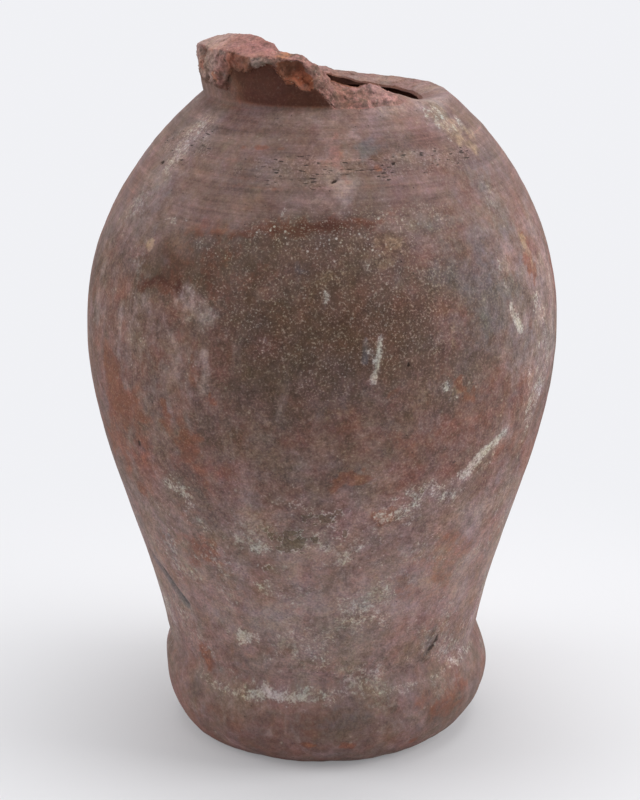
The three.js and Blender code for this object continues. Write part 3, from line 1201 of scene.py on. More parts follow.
@dataclass(frozen=True)
class CollarFragment:
    """The part of the collar that is left: a broken overhang that falls to a thin ridge at the front."""

    bore_radius: float = 44.4
    seat: float = 311.2
    rows: int = 64
    steps: int = 180
    voxel: float = 0.42
    wear: float = 0.5
    worn_rounds: int = 12
    seat_drop: float = 3.0
    back_drop: float = 1.6
    # chip and notch are hollows in the shape, darkened too with painted shade
    chip: Spot = Spot(203.0, 322.0, 9.0, 3.4)
    notch: Spot = Spot(223.0, 318.5, 3.5, 3.0)
    ridge: Spot = Spot(218.5, 313.0, 3.0, 6.0)
    tongue: Spot = Spot(262.0, 311.0, 5.0, 3.0)
    # ochre_highlight: painted highlight, ochre in hue, on the upper edge of the spall
    ochre_highlight: Spot = Spot(251.5, 324.2, 6.0, 2.6)
    limed: Spot = Spot(242.5, 321.6, 8.5, 3.2)
    worn_side_to: Pair = (188.0, 203.0)
    dull_top_to: Pair = (208.0, 226.0)
    left_to: Pair = (220.0, 226.0)
    band_to: Pair = (236.0, 240.0)
    ridge_from: Pair = (264.0, 268.0)
    dusty: Sector = Sector((208.0, 224.0), (244.0, 250.0))
    spalled: Sector = Sector((247.0, 251.0), (264.5, 267.5))
    spall_top: Pair = (320.6, 322.4)
    spall_turn: float = 258.0
    shadow_to: Pair = (252.0, 259.0)
    shadow_height: float = 316.0
    sections: tuple[CollarPoint, ...] = tuple(CollarPoint(*row) for row in COLLAR_ROWS)

    def build(self) -> Piece:
        """Turn the fragment through its sector, shape it section by section and roughen its breaks.

        Returns:
            The finished fragment.
        """
        start = math.radians(self.sections[0].angle_deg)
        sector = math.radians(self.sections[-1].angle_deg) - start
        plain = self._outline(start)
        piece = turn_outline("collar_fragment", plain, self.steps, sector)
        row = np.rint(stored(piece.data, "row")).astype(int)
        points = coordinates(piece.data)
        share = np.abs(np.arctan2(points[:, 1], points[:, 0])) / sector
        step = np.rint(share * self.steps).astype(int)
        theta = start + sector * np.arange(self.steps + 1) / self.steps
        sections = np.stack([self._outline(angle) for angle in theta])
        radius, height = sections[step, row].T
        across, deep = radius * np.cos(theta[step]), radius * np.sin(theta[step])
        set_coordinates(piece.data, np.column_stack([across, deep, height]))
        self._solidify(piece)
        self._roughen(piece.data)
        return piece

    def _outline(self, angle: float) -> Field:
        """Closed section at one angle, from the seat in the bore over the outside to the crest and back.

        Args:
            angle: The angle, in radians.

        Returns:
            Evenly spaced rows of radius and height.
        """
        angles = [math.radians(section.angle_deg) for section in self.sections]
        corners = np.array([section[1:] for section in self.sections])
        courses = corners.reshape(len(angles), -1).T
        here = np.array([np.interp(angle, angles, course) for course in courses]).reshape(-1, 2)
        seat = (self.bore_radius, min(self.seat, here[-1, 1] - self.seat_drop))
        back = (self.bore_radius, here[-1, 1] - self.back_drop)
        return respace(np.concatenate([[seat], here, [back], [seat]]), self.rows)[:-1]

    def _solidify(self, piece: Piece) -> None:
        """Cap the ends, remesh the fragment evenly and wear its edges.

        Args:
            piece: The fragment, open at its ends.
        """
        with editing(piece):
            bpy.ops.mesh.select_all(action="SELECT")
            bpy.ops.mesh.fill_holes(sides=0)
        face_outwards(piece)
        apply_modifier(piece, "REMESH", mode="VOXEL", voxel_size=self.voxel * MM)
        apply_modifier(piece, "SMOOTH", factor=self.wear, iterations=self.worn_rounds)
        bpy.ops.object.shade_smooth()

    def _roughen(self, mesh: Mesh) -> None:
        """Break up the surface in lumps, flakes and grains, and store what lies where, painted shade and
        highlight too.

        Args:
            mesh: The fragment's mesh.
        """
        points = coordinates(mesh)
        outward = vertex_normals(mesh)
        radius = np.hypot(points[:, 0], points[:, 1])
        angle = np.degrees(np.mod(np.arctan2(points[:, 1], points[:, 0]), TURN))
        height = points[:, 2]
        bore = 1.0 - smooth(radius, self.bore_radius + 0.3, self.bore_radius + 1.2)
        fresh = 1.0 - bore
        up = smooth(outward[:, 2] + 0.12 * clouds(points, 5.0, 2, 44), 0.3, 0.75)
        # painted shade on faces that look down
        down = smooth(-outward[:, 2], 0.1, 0.5)
        left = 1.0 - smooth(angle, *self.left_to)
        ridge_end = smooth(angle, *self.ridge_from)
        calm = 1.0 - 0.72 * up * (1.0 - ridge_end)
        lumps = 0.75 * clouds(points, 7.5, 3, 41) + (0.7 + 0.1 * left) * flakes(points, 4.2, 42)
        lumps += (0.45 - 0.2 * left) * flakes(points, 1.9, 52)
        grains = 0.36 * clouds(points, 2.4, 3, 43)
        crumbs = (0.20 + 0.14 * left) * clouds(points, 1.3, 2, 47) * (1.0 - up)
        # hollows: dug into the shape below, and darkened with painted shade
        hollow = self.chip.over(angle, height)
        hollow += 0.7 * self.notch.over(angle, height)
        ridge = self.ridge.over(angle, height)
        side = 1.0 - smooth(angle, *self.worn_side_to)
        raised = lumps * calm * (1.0 - 0.35 * ridge_end) * (1.0 - 0.5 * side) + grains * calm + crumbs
        raised += 0.9 * ridge - 1.5 * hollow
        set_coordinates(mesh, points + outward * (raised * (0.12 + 0.88 * fresh))[:, None])
        top = up * (1.0 - smooth(angle, *self.dull_top_to))
        dusty_top = up * self.dusty.over(angle)
        front = (1.0 - left) * (1.0 - up)
        band = front * (1.0 - smooth(angle, *self.band_to))
        beyond = self.spall_turn - np.maximum(angle, self.spall_turn)
        spall = self.spalled.over(angle) * (1.0 - smooth(height - 0.9 * beyond, *self.spall_top))
        tongue = self.tongue.over(angle, height)
        shadow = spall * (1.0 - smooth(angle + 1.2 * (self.shadow_height - height), *self.shadow_to))
        # painted highlight on the upper edge of the spall, in ochre
        ochre_highlight = self.ochre_highlight.over(angle, height)
        dust = left * (1.0 - up) * smooth(clouds(points, 6.0, 3, 48), -0.4, 0.4)
        covers = {
            FRESH: fresh,
            BLOOM: np.maximum(dusty_top, 0.05 * ridge_end),
            SLATE: np.maximum.reduce([top, 0.2 * ridge_end * up, dust]),
            RUST: np.maximum(spall * (1.0 - 0.5 * tongue), 0.5 * band),
            OCHRE: np.maximum.reduce([0.6 * ochre_highlight, 0.5 * ridge, 0.05 * tongue]),
            # painted shade: undersides, hollows and the shadow in the spall; also the darker front band and
            # ridge end
            SOOT_AND_SHADE: np.maximum.reduce([0.9 * down, 0.5 * band, hollow, shadow, 0.55 * ridge_end]),
            LIME: 0.55 * front * self.limed.over(angle, height),
        }
        for tint in Tint:
            store(mesh, tint.value, np.clip(covers.get(tint, np.zeros(len(points))), 0.0, 1.0))


@dataclass(frozen=True)
class BaseSlab:
    """The round slab that closes the foot, cut off the wheel with a string."""

    radius: float = 51.9
    top_radius: float = 55.9
    thickness: float = 14.0
    spacing: float = 1.4
    side_rows: int = 8
    turn_steps: int = 160
    skin: float = 0.1
    ring_pitch: float = 7.5
    ring_depth: float = 0.5
    string_pitch: float = 3.6
    string_depth: float = 0.22
    string_from: Pair = (20.0, -64.0)
    margin: float = 3.0
    edge_deg: float = 40.0

    def build(self) -> Piece:
        """Turn the slab and give it throwing rings above and string marks below.

        Returns:
            The finished slab.
        """
        bottom_edge = (self.radius, 0.0)
        top_edge = (self.top_radius, self.thickness)
        under = respace(np.array([(0.0, 0.0), bottom_edge]), round(self.radius / self.spacing))
        side = respace(np.array([bottom_edge, top_edge]), self.side_rows)
        top = respace(np.array([top_edge, (0.0, self.thickness)]), round(self.top_radius / self.spacing))
        outline = np.concatenate([under, side[1:], top[1:]])
        piece = turn_outline("base_slab", outline, self.turn_steps, closed=False)
        mesh = piece.data
        points = coordinates(mesh)
        radius = np.hypot(points[:, 0], points[:, 1])
        above = points[:, 2] > self.thickness - self.skin
        below = points[:, 2] < self.skin
        swirl = radius + 1.2 * np.arctan2(points[:, 1], points[:, 0])
        rings = self.ring_depth * np.sin(swirl * TURN / self.ring_pitch) * smooth(radius, 2.0, 12.0) - 0.6
        loops = np.hypot(points[:, 0] - self.string_from[0], points[:, 1] - self.string_from[1])
        drag = loops * TURN / self.string_pitch + 1.5 * clouds(points, 14.0, 2, 52)
        string = self.string_depth * (1.0 + np.sin(drag))
        fade = 1.0 - smooth(radius, self.radius - self.margin, self.radius)
        rim = smooth(radius, self.top_radius - self.margin, self.top_radius)
        points[:, 2] += above * rings * (1.0 - rim)
        pitting = 0.12 * (1.0 + clouds(points, 6.0, 3, 53))
        points[:, 2] += below * np.maximum(0.0, string + pitting) * fade
        set_coordinates(mesh, points)
        for tint in Tint:
            store(mesh, tint.value, np.zeros(len(points)))
        deselect()
        piece.select_set(True)
        bpy.context.view_layer.objects.active = piece
        bpy.ops.object.shade_smooth_by_angle(angle=math.radians(self.edge_deg))
        return piece


class Value:
    """A number or colour on its way through a material, with arithmetic written as plain expressions."""

    def __init__(self, paint: Paint, socket: bpy.types.NodeSocket) -> None:
        """Wrap a node's output socket."""
        self.paint = paint
        self.socket = socket

    def _math(self, operation: str, first: Any, second: Any) -> Value:
        """Add a Math node."""
        return self.paint.node("ShaderNodeMath", {"operation": operation}, {0: first, 1: second})

    def __add__(self, other: Any) -> Value:
        """Sum."""
        return self._math("ADD", self, other)

    __radd__ = __add__

    def __sub__(self, other: Any) -> Value:
        """Difference."""
        return self._math("SUBTRACT", self, other)

    def __rsub__(self, other: Any) -> Value:
        """Difference, with this value taken away."""
        return self._math("SUBTRACT", other, self)

    def __mul__(self, other: Any) -> Value:
        """Product."""
        return self._math("MULTIPLY", self, other)

    __rmul__ = __mul__

    def __or__(self, other: Any) -> Value:
        """The larger of two covers."""
        return self._math("MAXIMUM", self, other)

    def eased(self, low: Any, high: Any) -> Value:
        """Ease from 0 at low to 1 at high."""
        sockets = {"Value": self, "From Min": low, "From Max": high}
        return self.paint.node("ShaderNodeMapRange", {"interpolation_type": "SMOOTHSTEP"}, sockets)


class Paint:
    """A material or world under way: its nodes are added one by one and linked as values."""

    def __init__(self, owner: Material | bpy.types.World) -> None:
        """Start with the owner's nodes cleared.

        Args:
            owner: The material or world.
        """
        owner.use_nodes = True
        self.tree = owner.node_tree
        self.tree.nodes.clear()

    def node(
        self, kind: str, settings: dict[str, Any], inputs: dict[str | int, Any], output: str | int = 0
    ) -> Value:
        """Add any node.

        Args:
            kind: The node's type.
            settings: Its settings, which are set before its sockets.
            inputs: Values or links of its sockets, by name or number.
            output: Which output to go on with.

        Returns:
            That output.
        """
        added = self.tree.nodes.new(kind)
        for setting, choice in settings.items():
            setattr(added, setting, choice)
        for key, given in inputs.items():
            socket = added.inputs[key]
            if isinstance(given, Value):
                self.tree.links.new(given.socket, socket)
            elif isinstance(given, tuple) and len(given) == 3 and socket.type == "RGBA":
                socket.default_value = (*given, 1.0)
            else:
                socket.default_value = given
        return Value(self, added.outputs[output])

    def place(self) -> Value:
        """Object coordinates in millimetres."""
        here = self.node("ShaderNodeTexCoord", {}, {}, "Object")
        return self.vector("SCALE", here, 1.0 / MM)

    def vector(self, operation: str, first: Any, second: Any) -> Value:
        """Add a Vector Math node, whose second input is a number for SCALE and otherwise a vector."""
        socket = "Scale" if operation == "SCALE" else 1
        return self.node("ShaderNodeVectorMath", {"operation": operation}, {0: first, socket: second})

    def shifted(self, place: Value, shift: Triple, scale: Triple = (1.0, 1.0, 1.0)) -> Value:
        """Coordinates in another part of a pattern, drawn out where the scale is small, for streaks."""
        return self.node("ShaderNodeMapping", {}, {"Vector": place, "Location": shift, "Scale": scale})

    def up_the_wall(self, place: Value, rise: float, radius: float = 90.0) -> Value:
        """Coordinates round the jar that are drawn out up its wall, for strokes that follow the wall.

        Args:
            place: Coordinates.
            rise: How fast the pattern changes up the wall, 1 being as fast as round it.
            radius: Radius that the pattern's size holds for.

        Returns:
            The drawn-out coordinates.
        """
        level = self.vector("MULTIPLY", place, (1.0, 1.0, 0.0))
        outward = self.node("ShaderNodeVectorMath", {"operation": "NORMALIZE"}, {0: level})
        ring = self.vector("SCALE", outward, radius)
        return self.vector("ADD", ring, self.vector("MULTIPLY", place, (0.0, 0.0, rise)))

    def noise(
        self, place: Value, size: float, detail: float = 4.0, rough: float = 0.55, warp: float = 0.0
    ) -> Value:
        """Cloudy noise around 0.5.

        Args:
            place: Coordinates.
            size: Width of the clouds.
            detail: How many finer layers there are.
            rough: How strong the finer layers are.
            warp: How far the clouds are drawn into wisps.

        Returns:
            The noise.
        """
        clouds_of = {"Vector": place, "Scale": 1.0 / size, "Detail": detail}
        wisps_of = {"Roughness": rough, "Distortion": warp}
        return self.node("ShaderNodeTexNoise", {}, clouds_of | wisps_of, "Fac")

    def ragged(self, place: Value, size: float, reach: float) -> Value:
        """Coordinates pushed about at random, so that what is drawn on them has ragged edges.

        Args:
            place: Coordinates.
            size: Width of the rags.
            reach: How far they are pushed.

        Returns:
            The pushed coordinates.
        """
        sockets = {"Vector": place, "Scale": 1.0 / size, "Detail": 2.0}
        push = self.node("ShaderNodeTexNoise", {}, sockets, "Color")
        even = self.vector("SUBTRACT", push, (0.5, 0.5, 0.5))
        return self.vector("ADD", place, self.vector("SCALE", even, reach))

    def dots(self, place: Value, size: float, radius: float, chance: float) -> Value:
        """Round specks, one in some of the cells of a random grid.

        Args:
            place: Coordinates.
            size: Width of the cells.
            radius: Radius of the largest specks, in cells.
            chance: Share of the cells that hold a speck.

        Returns:
            1 on the specks.
        """
        sockets = {"Vector": place, "Scale": 1.0 / size}
        reach = self.node("ShaderNodeTexVoronoi", {}, sockets, "Distance")
        cell = self.node("ShaderNodeTexVoronoi", {}, sockets, "Color")
        lot = self.node("ShaderNodeSeparateColor", {}, {0: cell}, "Red")
        width = radius * (0.35 + 0.65 * self.node("ShaderNodeSeparateColor", {}, {0: cell}, "Green"))
        strength = 0.4 + 0.6 * self.node("ShaderNodeSeparateColor", {}, {0: cell}, "Blue")
        return strength * (1.0 - reach.eased(0.45 * width, width)) * (1.0 - lot.eased(chance, chance + 0.02))

    def tint(self, tint: Tint) -> Value:
        """How much of a tint lies here."""
        return self.node("ShaderNodeAttribute", {"attribute_name": tint.value}, {}, "Fac")

    def mix(self, share: Any, low: Any, high: Any) -> Value:
        """Blend two colours."""
        inputs = {0: share, 6: low, 7: high}
        return self.node("ShaderNodeMix", {"data_type": "RGBA"}, inputs, 2)

    def seen(self) -> Value:
        """Which rays see the backdrop.

        Returns:
            1 for rays from the camera, and for those that gloss and glass send on.
        """
        kinds = ("Is Camera Ray", "Is Glossy Ray", "Is Transmission Ray")
        camera, glossy, through = (self.node("ShaderNodeLightPath", {}, {}, kind) for kind in kinds)
        return camera | glossy | through

    def finish(self, surface: Value, output: str = "ShaderNodeOutputMaterial") -> None:
        """Link the surface to an output node."""
        end = self.tree.nodes.new(output)
        self.tree.links.new(surface.socket, end.inputs["Surface"])


@dataclass(frozen=True)
class ClayFinish:
    """Weathered earthenware with its stains, deposits, grit and breaks, and shade painted in olive, dark red
    and the pit colour.
    """

    name: str
    red: Colour = (0.205, 0.088, 0.066)
    brown: Colour = (0.122, 0.074, 0.056)
    mauve: Colour = (0.214, 0.133, 0.119)
    bloom: Colour = (0.340, 0.245, 0.222)
    dusk: Colour = (0.118, 0.068, 0.056)
    # olive: smoke stains, and painted shade
    olive: Colour = (0.084, 0.047, 0.028)
    # dark red for dark red stains, also used as painted shade on the neck wall under the collar and inside
    # the bore
    dark_red_and_shade: Colour = (0.070, 0.021, 0.012)
    rust: Colour = (0.205, 0.080, 0.050)
    orange: Colour = (0.360, 0.150, 0.080)
    lime: Colour = (0.470, 0.425, 0.370)
    ochre: Colour = (0.330, 0.228, 0.150)
    slate: Colour = (0.132, 0.116, 0.117)
    speck: Colour = (0.400, 0.330, 0.268)
    # pit: colour of pits, also used for a spot of painted shade under the collar
    pit: Colour = (0.030, 0.020, 0.016)
    cake: Colour = (0.125, 0.087, 0.058)
    break_pink: Colour = (0.312, 0.146, 0.122)
    break_brown: Colour = (0.150, 0.080, 0.061)
    spall: Colour = (0.278, 0.086, 0.048)
    mottle: float = 1.0
    ruddy_cast: float = 0.62
    sallow_cast: float = 0.85
    stray_lime: float = 0.57
    roughness: float = 0.80

    def material(self) -> Material:
        """Mix the clay from the inside out: body, stains, deposits, then breaks.

        Returns:
            The finished material.
        """
        finish = bpy.data.materials.new(self.name)
        paint = Paint(finish)
        place = paint.place()
        rings = paint.tint(RINGS) * (1.0 - 0.75 * paint.tint(FLECKS))
        cloud = paint.noise(place, 14.0, 5.0, 0.62)
        layers = paint.noise(paint.shifted(place, UNMOVED, (0.07, 0.07, 1.0)), 4.6, 5.0, 0.66)
        mid = cloud + rings * (layers - cloud)
        fine = paint.noise(place, 3.2, 5.0, 0.66)
        grain = paint.noise(place, 0.95, 2.0, 0.6)
        lines = paint.noise(paint.shifted(place, UNMOVED, (0.02, 0.02, 1.0)), 1.3, 3.0, 0.6)
        colour = self._body(paint, place, mid, fine)
        layered = paint.mix((0.6 * layers + 0.7 * cloud - 0.15).eased(0.34, 0.68), self.dusk, self.mauve)
        colour = paint.mix(0.7 * rings, colour, layered)
        colour = paint.mix(lines.eased(0.55, 0.78) * 0.35 * rings, colour, self.red)
        colour = self._stains(paint, place, colour, mid, fine)
        colour, crust, holes_and_shade = self._deposits(paint, place, colour, mid, fine, grain)
        colour = self._breaks(paint, place, colour, mid, fine)
        colour = self._casts(paint, place, colour)
        spread = paint.noise(paint.shifted(place, (71.0, 3.0, 19.0)), 8.0, 5.0, 0.7)
        crisp = 0.30 * (fine.eased(0.36, 0.64) - 0.5) + 0.30 * (grain.eased(0.36, 0.64) - 0.5)
        still = 1.0 - 0.6 * paint.tint(SOOT_AND_SHADE) * paint.tint(RUST)
        drawn = spread + rings * (layers - spread)
        shade = 1.0 + self.mottle * still * crisp * (1.0 - 0.45 * rings)
        shade = shade + (0.9 - 0.25 * rings) * (drawn - 0.5) + 0.95 * rings * (lines - 0.5)
        colour = paint.vector("SCALE", colour, shade)
        rise = 0.6 * fine + 0.3 * grain + 0.45 * crust + 0.3 * rings * lines - 1.2 * holes_and_shade
        relief = {"Height": rise, "Strength": 0.75, "Distance": 0.5 * MM}
        bump = paint.node("ShaderNodeBump", {}, relief, "Normal")
        rough = self.roughness + 0.12 * (mid - 0.5) + 0.06 * crust
        inputs = {"Base Color": colour, "Roughness": rough, "Normal": bump, "Specular IOR Level": 0.28}
        paint.finish(paint.node("ShaderNodeBsdfPrincipled", {}, inputs))
        return finish

    def _casts(self, paint: Paint, place: Value, colour: Value) -> Value:
        """Warm and cool casts that lie over the whole clay in clouds.

        Args:
            paint: The material.
            place: Coordinates.
            colour: Colour so far.

        Returns:
            The colour with its casts.
        """
        ruddy = paint.noise(paint.shifted(place, (13.0, 37.0, 59.0)), 17.0, 6.0, 0.76, 0.3)
        sallow = paint.noise(paint.shifted(place, (89.0, 23.0, 7.0)), 15.0, 6.0, 0.78, 0.3)
        reds = 1.0 + self.ruddy_cast * (ruddy - 0.5)
        blues = 1.0 - self.sallow_cast * (sallow - 0.5)
        cast = paint.node("ShaderNodeCombineXYZ", {}, {"X": reds, "Y": 1.0, "Z": blues})
        return paint.vector("MULTIPLY", colour, cast)

    def _body(self, paint: Paint, place: Value, mid: Value, fine: Value) -> Value:
        """Fired clay itself: red and brown clouds, greyed by handling and by long burial.

        Args:
            paint: The material.
            place: Coordinates.
            mid: Clouds the width of a finger.
            fine: Fine clouds.

        Returns:
            The clay's colour.
        """
        broad = paint.noise(place, 46.0, 3.0)
        colour = paint.mix((broad + 0.6 * mid).eased(0.66, 0.92), self.red, self.brown)
        spots = paint.noise(paint.shifted(place, (3.0, 57.0, 91.0)), 7.0, 5.0, 0.7)
        veil = (0.5 * mid + 0.5 * spots + 0.2 * fine).eased(0.48, 0.72)
        colour = paint.mix(0.7 * veil, colour, self.mauve)
        blots = paint.noise(paint.shifted(place, (5.0, 71.0, 33.0)), 26.0, 6.0, 0.66, 0.6)
        colour = paint.mix(0.5 * blots.eased(0.50, 0.64), colour, self.dusk)
        wisps = paint.noise(paint.shifted(place, (47.0, 9.0, 13.0), (1.0, 1.0, 0.6)), 19.0, 7.0, 0.70, 1.2)
        return paint.mix(0.42 * wisps.eased(0.50, 0.68), colour, self.bloom)

    def _stains(self, paint: Paint, place: Value, colour: Value, mid: Value, fine: Value) -> Value:
        """Smoke and painted shade in olive, pale bloom, wiped streaks, red and ochre stains, and dark red
        stains that also serve as painted shade.

        Args:
            paint: The material.
            place: Coordinates.
            colour: Colour so far.
            mid: Clouds the width of a finger.
            fine: Fine clouds.

        Returns:
            The stained colour.
        """
        # smoke is the SOOT_AND_SHADE cover: smoke stains, and painted shade under the collar, in the bore,
        # on undersides and on the foot
        smoke = paint.tint(SOOT_AND_SHADE)
        iron = paint.tint(RUST)
        colour = paint.mix(0.9 * (smoke + 0.55 * (mid - 0.5)).eased(0.1, 0.95), colour, self.olive)
        haze = paint.noise(paint.shifted(place, (61.0, 17.0, 43.0)), 19.0, 6.0, 0.66)
        bloom = paint.tint(BLOOM) * (0.3 + 0.7 * (haze + 0.3 * (fine - 0.5)).eased(0.36, 0.70))
        colour = paint.mix(bloom, colour, self.bloom)
        wiped = paint.noise(paint.up_the_wall(place, 0.30), 6.0, 6.0, 0.70, 0.7)
        streak = paint.tint(WIPE) * (wiped + 0.8 * (haze - 0.5)).eased(0.44, 0.66)
        colour = paint.mix(0.85 * streak, colour, self.bloom)
        rust = (iron + 0.9 * (fine - 0.5) + 0.6 * (mid - 0.5)).eased(0.3, 0.8)
        colour = paint.mix(0.8 * rust, colour, self.rust)
        glow = (iron + 1.1 * (fine - 0.5)).eased(0.78, 1.1) * (1.0 - smoke)
        colour = paint.mix(0.5 * glow, colour, self.orange)
        # dark red where the smoke cover meets rust: dark red stains, and painted shade under the collar and
        # inside the bore
        dark_red_and_shade_share = (smoke * iron + 0.25 * (fine - 0.5)).eased(0.2, 0.55)
        colour = paint.mix((0.62 + 0.6 * mid) * dark_red_and_shade_share, colour, self.dark_red_and_shade)
        slate = (paint.tint(SLATE) + 0.8 * (fine - 0.5) + 0.5 * (mid - 0.5)).eased(0.2, 0.9)
        colour = paint.mix(0.75 * slate, colour, self.slate)
        ochre = (paint.tint(OCHRE) + 1.0 * (fine - 0.5)).eased(0.3, 0.85)
        return paint.mix(0.8 * ochre, colour, self.ochre)

    def _deposits(
        self, paint: Paint, place: Value, colour: Value, mid: Value, fine: Value, grain: Value
    ) -> tuple[Value, Value, Value]:
        """Grit that shows through, lime crust, and pits, with a spot of painted shade in the pit colour.

        Args:
            paint: The material.
            place: Coordinates.
            colour: Colour so far.
            mid: Clouds the width of a finger.
            fine: Fine clouds.
            grain: The finest clouds.

        Returns:
            The colour, the crust's cover and the cover of the pits and the painted shade.
        """
        grit = paint.tint(GRIT)
        salt = grain.eased(0.54, 0.72) * (0.1 + 0.62 * grit.eased(0.1, 0.7))
        colour = paint.mix(0.62 * salt, colour, self.speck)
        uneven = paint.noise(place, 9.0, 4.0, 0.6)
        small = paint.dots(place, 1.15, 0.40, 0.60) * (grit + 2.2 * (uneven - 0.5)).eased(0.3, 0.9)
        large = paint.dots(place, 2.3, 0.34, 0.75) * (grit + 1.0 * (uneven - 0.5)).eased(0.72, 1.0)
        flecks = paint.noise(paint.shifted(place, (11.0, 83.0, 29.0)), 2.1, 4.0, 0.72)
        stray = paint.dots(place, 3.1, 0.36, 0.22) * (mid + 0.5 * (uneven - 0.5)).eased(0.46, 0.66)
        colour = paint.mix(0.8 * (small | stray), colour, self.speck)
        colour = paint.mix(large, colour, self.lime)
        patchy = paint.noise(paint.shifted(place, (29.0, 5.0, 71.0)), 24.0, 4.0, 0.6)
        cover = paint.tint(LIME)
        colour = paint.mix(0.4 * cover * (0.4 + fine), colour, self.bloom)
        lime = (cover + 1.5 * (flecks - 0.5) + 0.8 * (fine - 0.5) + 0.8 * (grain - 0.5)).eased(0.44, 0.96)
        loose = (patchy + 1.1 * (flecks - 0.5)).eased(self.stray_lime, self.stray_lime + 0.2)
        brushed = paint.noise(paint.up_the_wall(paint.ragged(place, 30.0, 60.0), 0.42), 1.5, 3.0, 0.6)
        scuffs = (brushed + 0.7 * (patchy - 0.5)).eased(0.58, 0.74) * paint.tint(FLECKS)
        colour = paint.mix(0.5 * scuffs, colour, self.bloom)
        caked = paint.tint(CRUST) + 1.0 * (fine - 0.5) + 0.7 * (uneven - 0.5)
        rim = caked.eased(0.36, 0.44) * (1.0 - caked.eased(0.50, 0.60))
        crust = lime | (0.68 * loose * paint.tint(FLECKS)) | (0.75 * rim * grain.eased(0.40, 0.60))
        colour = paint.mix(crust * (0.3 + 0.9 * grain), colour, self.lime)
        cake = caked.eased(0.48, 0.54)
        colour = paint.mix(0.85 * cake * (0.5 + 0.6 * fine), colour, self.cake)
        crust = crust | cake
        pores = paint.dots(place, 2.7, 0.2, 0.25)
        lying = paint.ragged(paint.shifted(place, (7.0, 41.0, 3.0), (0.22, 0.22, 1.0)), 0.9, 0.9)
        rips = (paint.tint(TORN) + 1.3 * (uneven - 0.5)).eased(0.35, 0.8)
        torn = rips * paint.dots(lying, 1.0, 0.42, 1.0).eased(0.0, 0.6)
        colour = paint.mix(0.3 * rips * grain.eased(0.50, 0.62), colour, self.bloom)
        # pits and nicks, and the painted shade spot under the collar
        cuts_and_shade = (paint.tint(SCAR_AND_SHADE) + 0.9 * (fine - 0.5)).eased(0.35, 0.8)
        holes_and_shade = cuts_and_shade | torn | (0.75 * pores)
        return paint.mix(0.85 * holes_and_shade, colour, self.pit), crust, holes_and_shade

    def _breaks(self, paint: Paint, place: Value, colour: Value, mid: Value, fine: Value) -> Value:
        """Broken clay: brown, pink on top with old dust, red where a flake came off late, and olive where it
        is darker, much of it painted shade on undersides, in hollows and in the spall.

        Args:
            paint: The material.
            place: Coordinates.
            colour: Colour so far, which stays where the clay is whole.
            mid: Clouds the width of a finger.
            fine: Fine clouds.

        Returns:
            The colour with its breaks.
        """
        raw = paint.mix((0.9 * fine + 0.5 * mid).eased(0.54, 0.80), self.break_brown, self.break_pink)
        raw = paint.mix(paint.tint(BLOOM) * (0.35 + 0.9 * mid).eased(0.4, 1.0), raw, self.break_pink)
        raw = paint.mix((paint.tint(RUST) + 0.5 * (fine - 0.5)).eased(0.2, 0.7), raw, self.spall)
        raw = paint.mix(0.75 * paint.tint(SLATE) * (0.3 + fine), raw, self.bloom)
        raw = paint.mix(0.8 * (paint.tint(OCHRE) + (fine - 0.5)).eased(0.3, 0.7), raw, self.orange)
        # olive where the break is darker, mostly painted shade on undersides, in hollows, in the spall and
        # on the neck's lip
        raw = paint.mix(0.7 * paint.tint(SOOT_AND_SHADE) * (0.4 + 0.9 * fine), raw, self.olive)
        raw = paint.mix(0.6 * paint.tint(LIME) * (0.4 + fine), raw, self.lime)
        raw = paint.mix(0.5 * paint.dots(place, 1.5, 0.4, 0.35), raw, self.speck)
        raw = paint.mix(0.75 * paint.dots(place, 1.9, 0.36, 0.3), raw, self.pit)
        return paint.mix(paint.tint(FRESH).eased(0.3, 0.7), colour, raw)


@dataclass(frozen=True)
class SoftLamp:
    """A softbox of the studio."""

    name: str
    stand: Triple
    aim: Triple
    size: Pair
    watts: float

    def add(self) -> None:
        """Hang the softbox and turn it to its aim."""
        data = bpy.data.lights.new(self.name, "AREA")
        data.shape = "RECTANGLE"
        data.size, data.size_y = self.size
        data.energy = self.watts
        lamp = bpy.data.objects.new(self.name, data)
        bpy.context.scene.collection.objects.link(lamp)
        lamp.location = self.stand
        lamp.rotation_euler = (Vector(self.aim) - Vector(self.stand)).to_track_quat("-Z", "Y").to_euler()


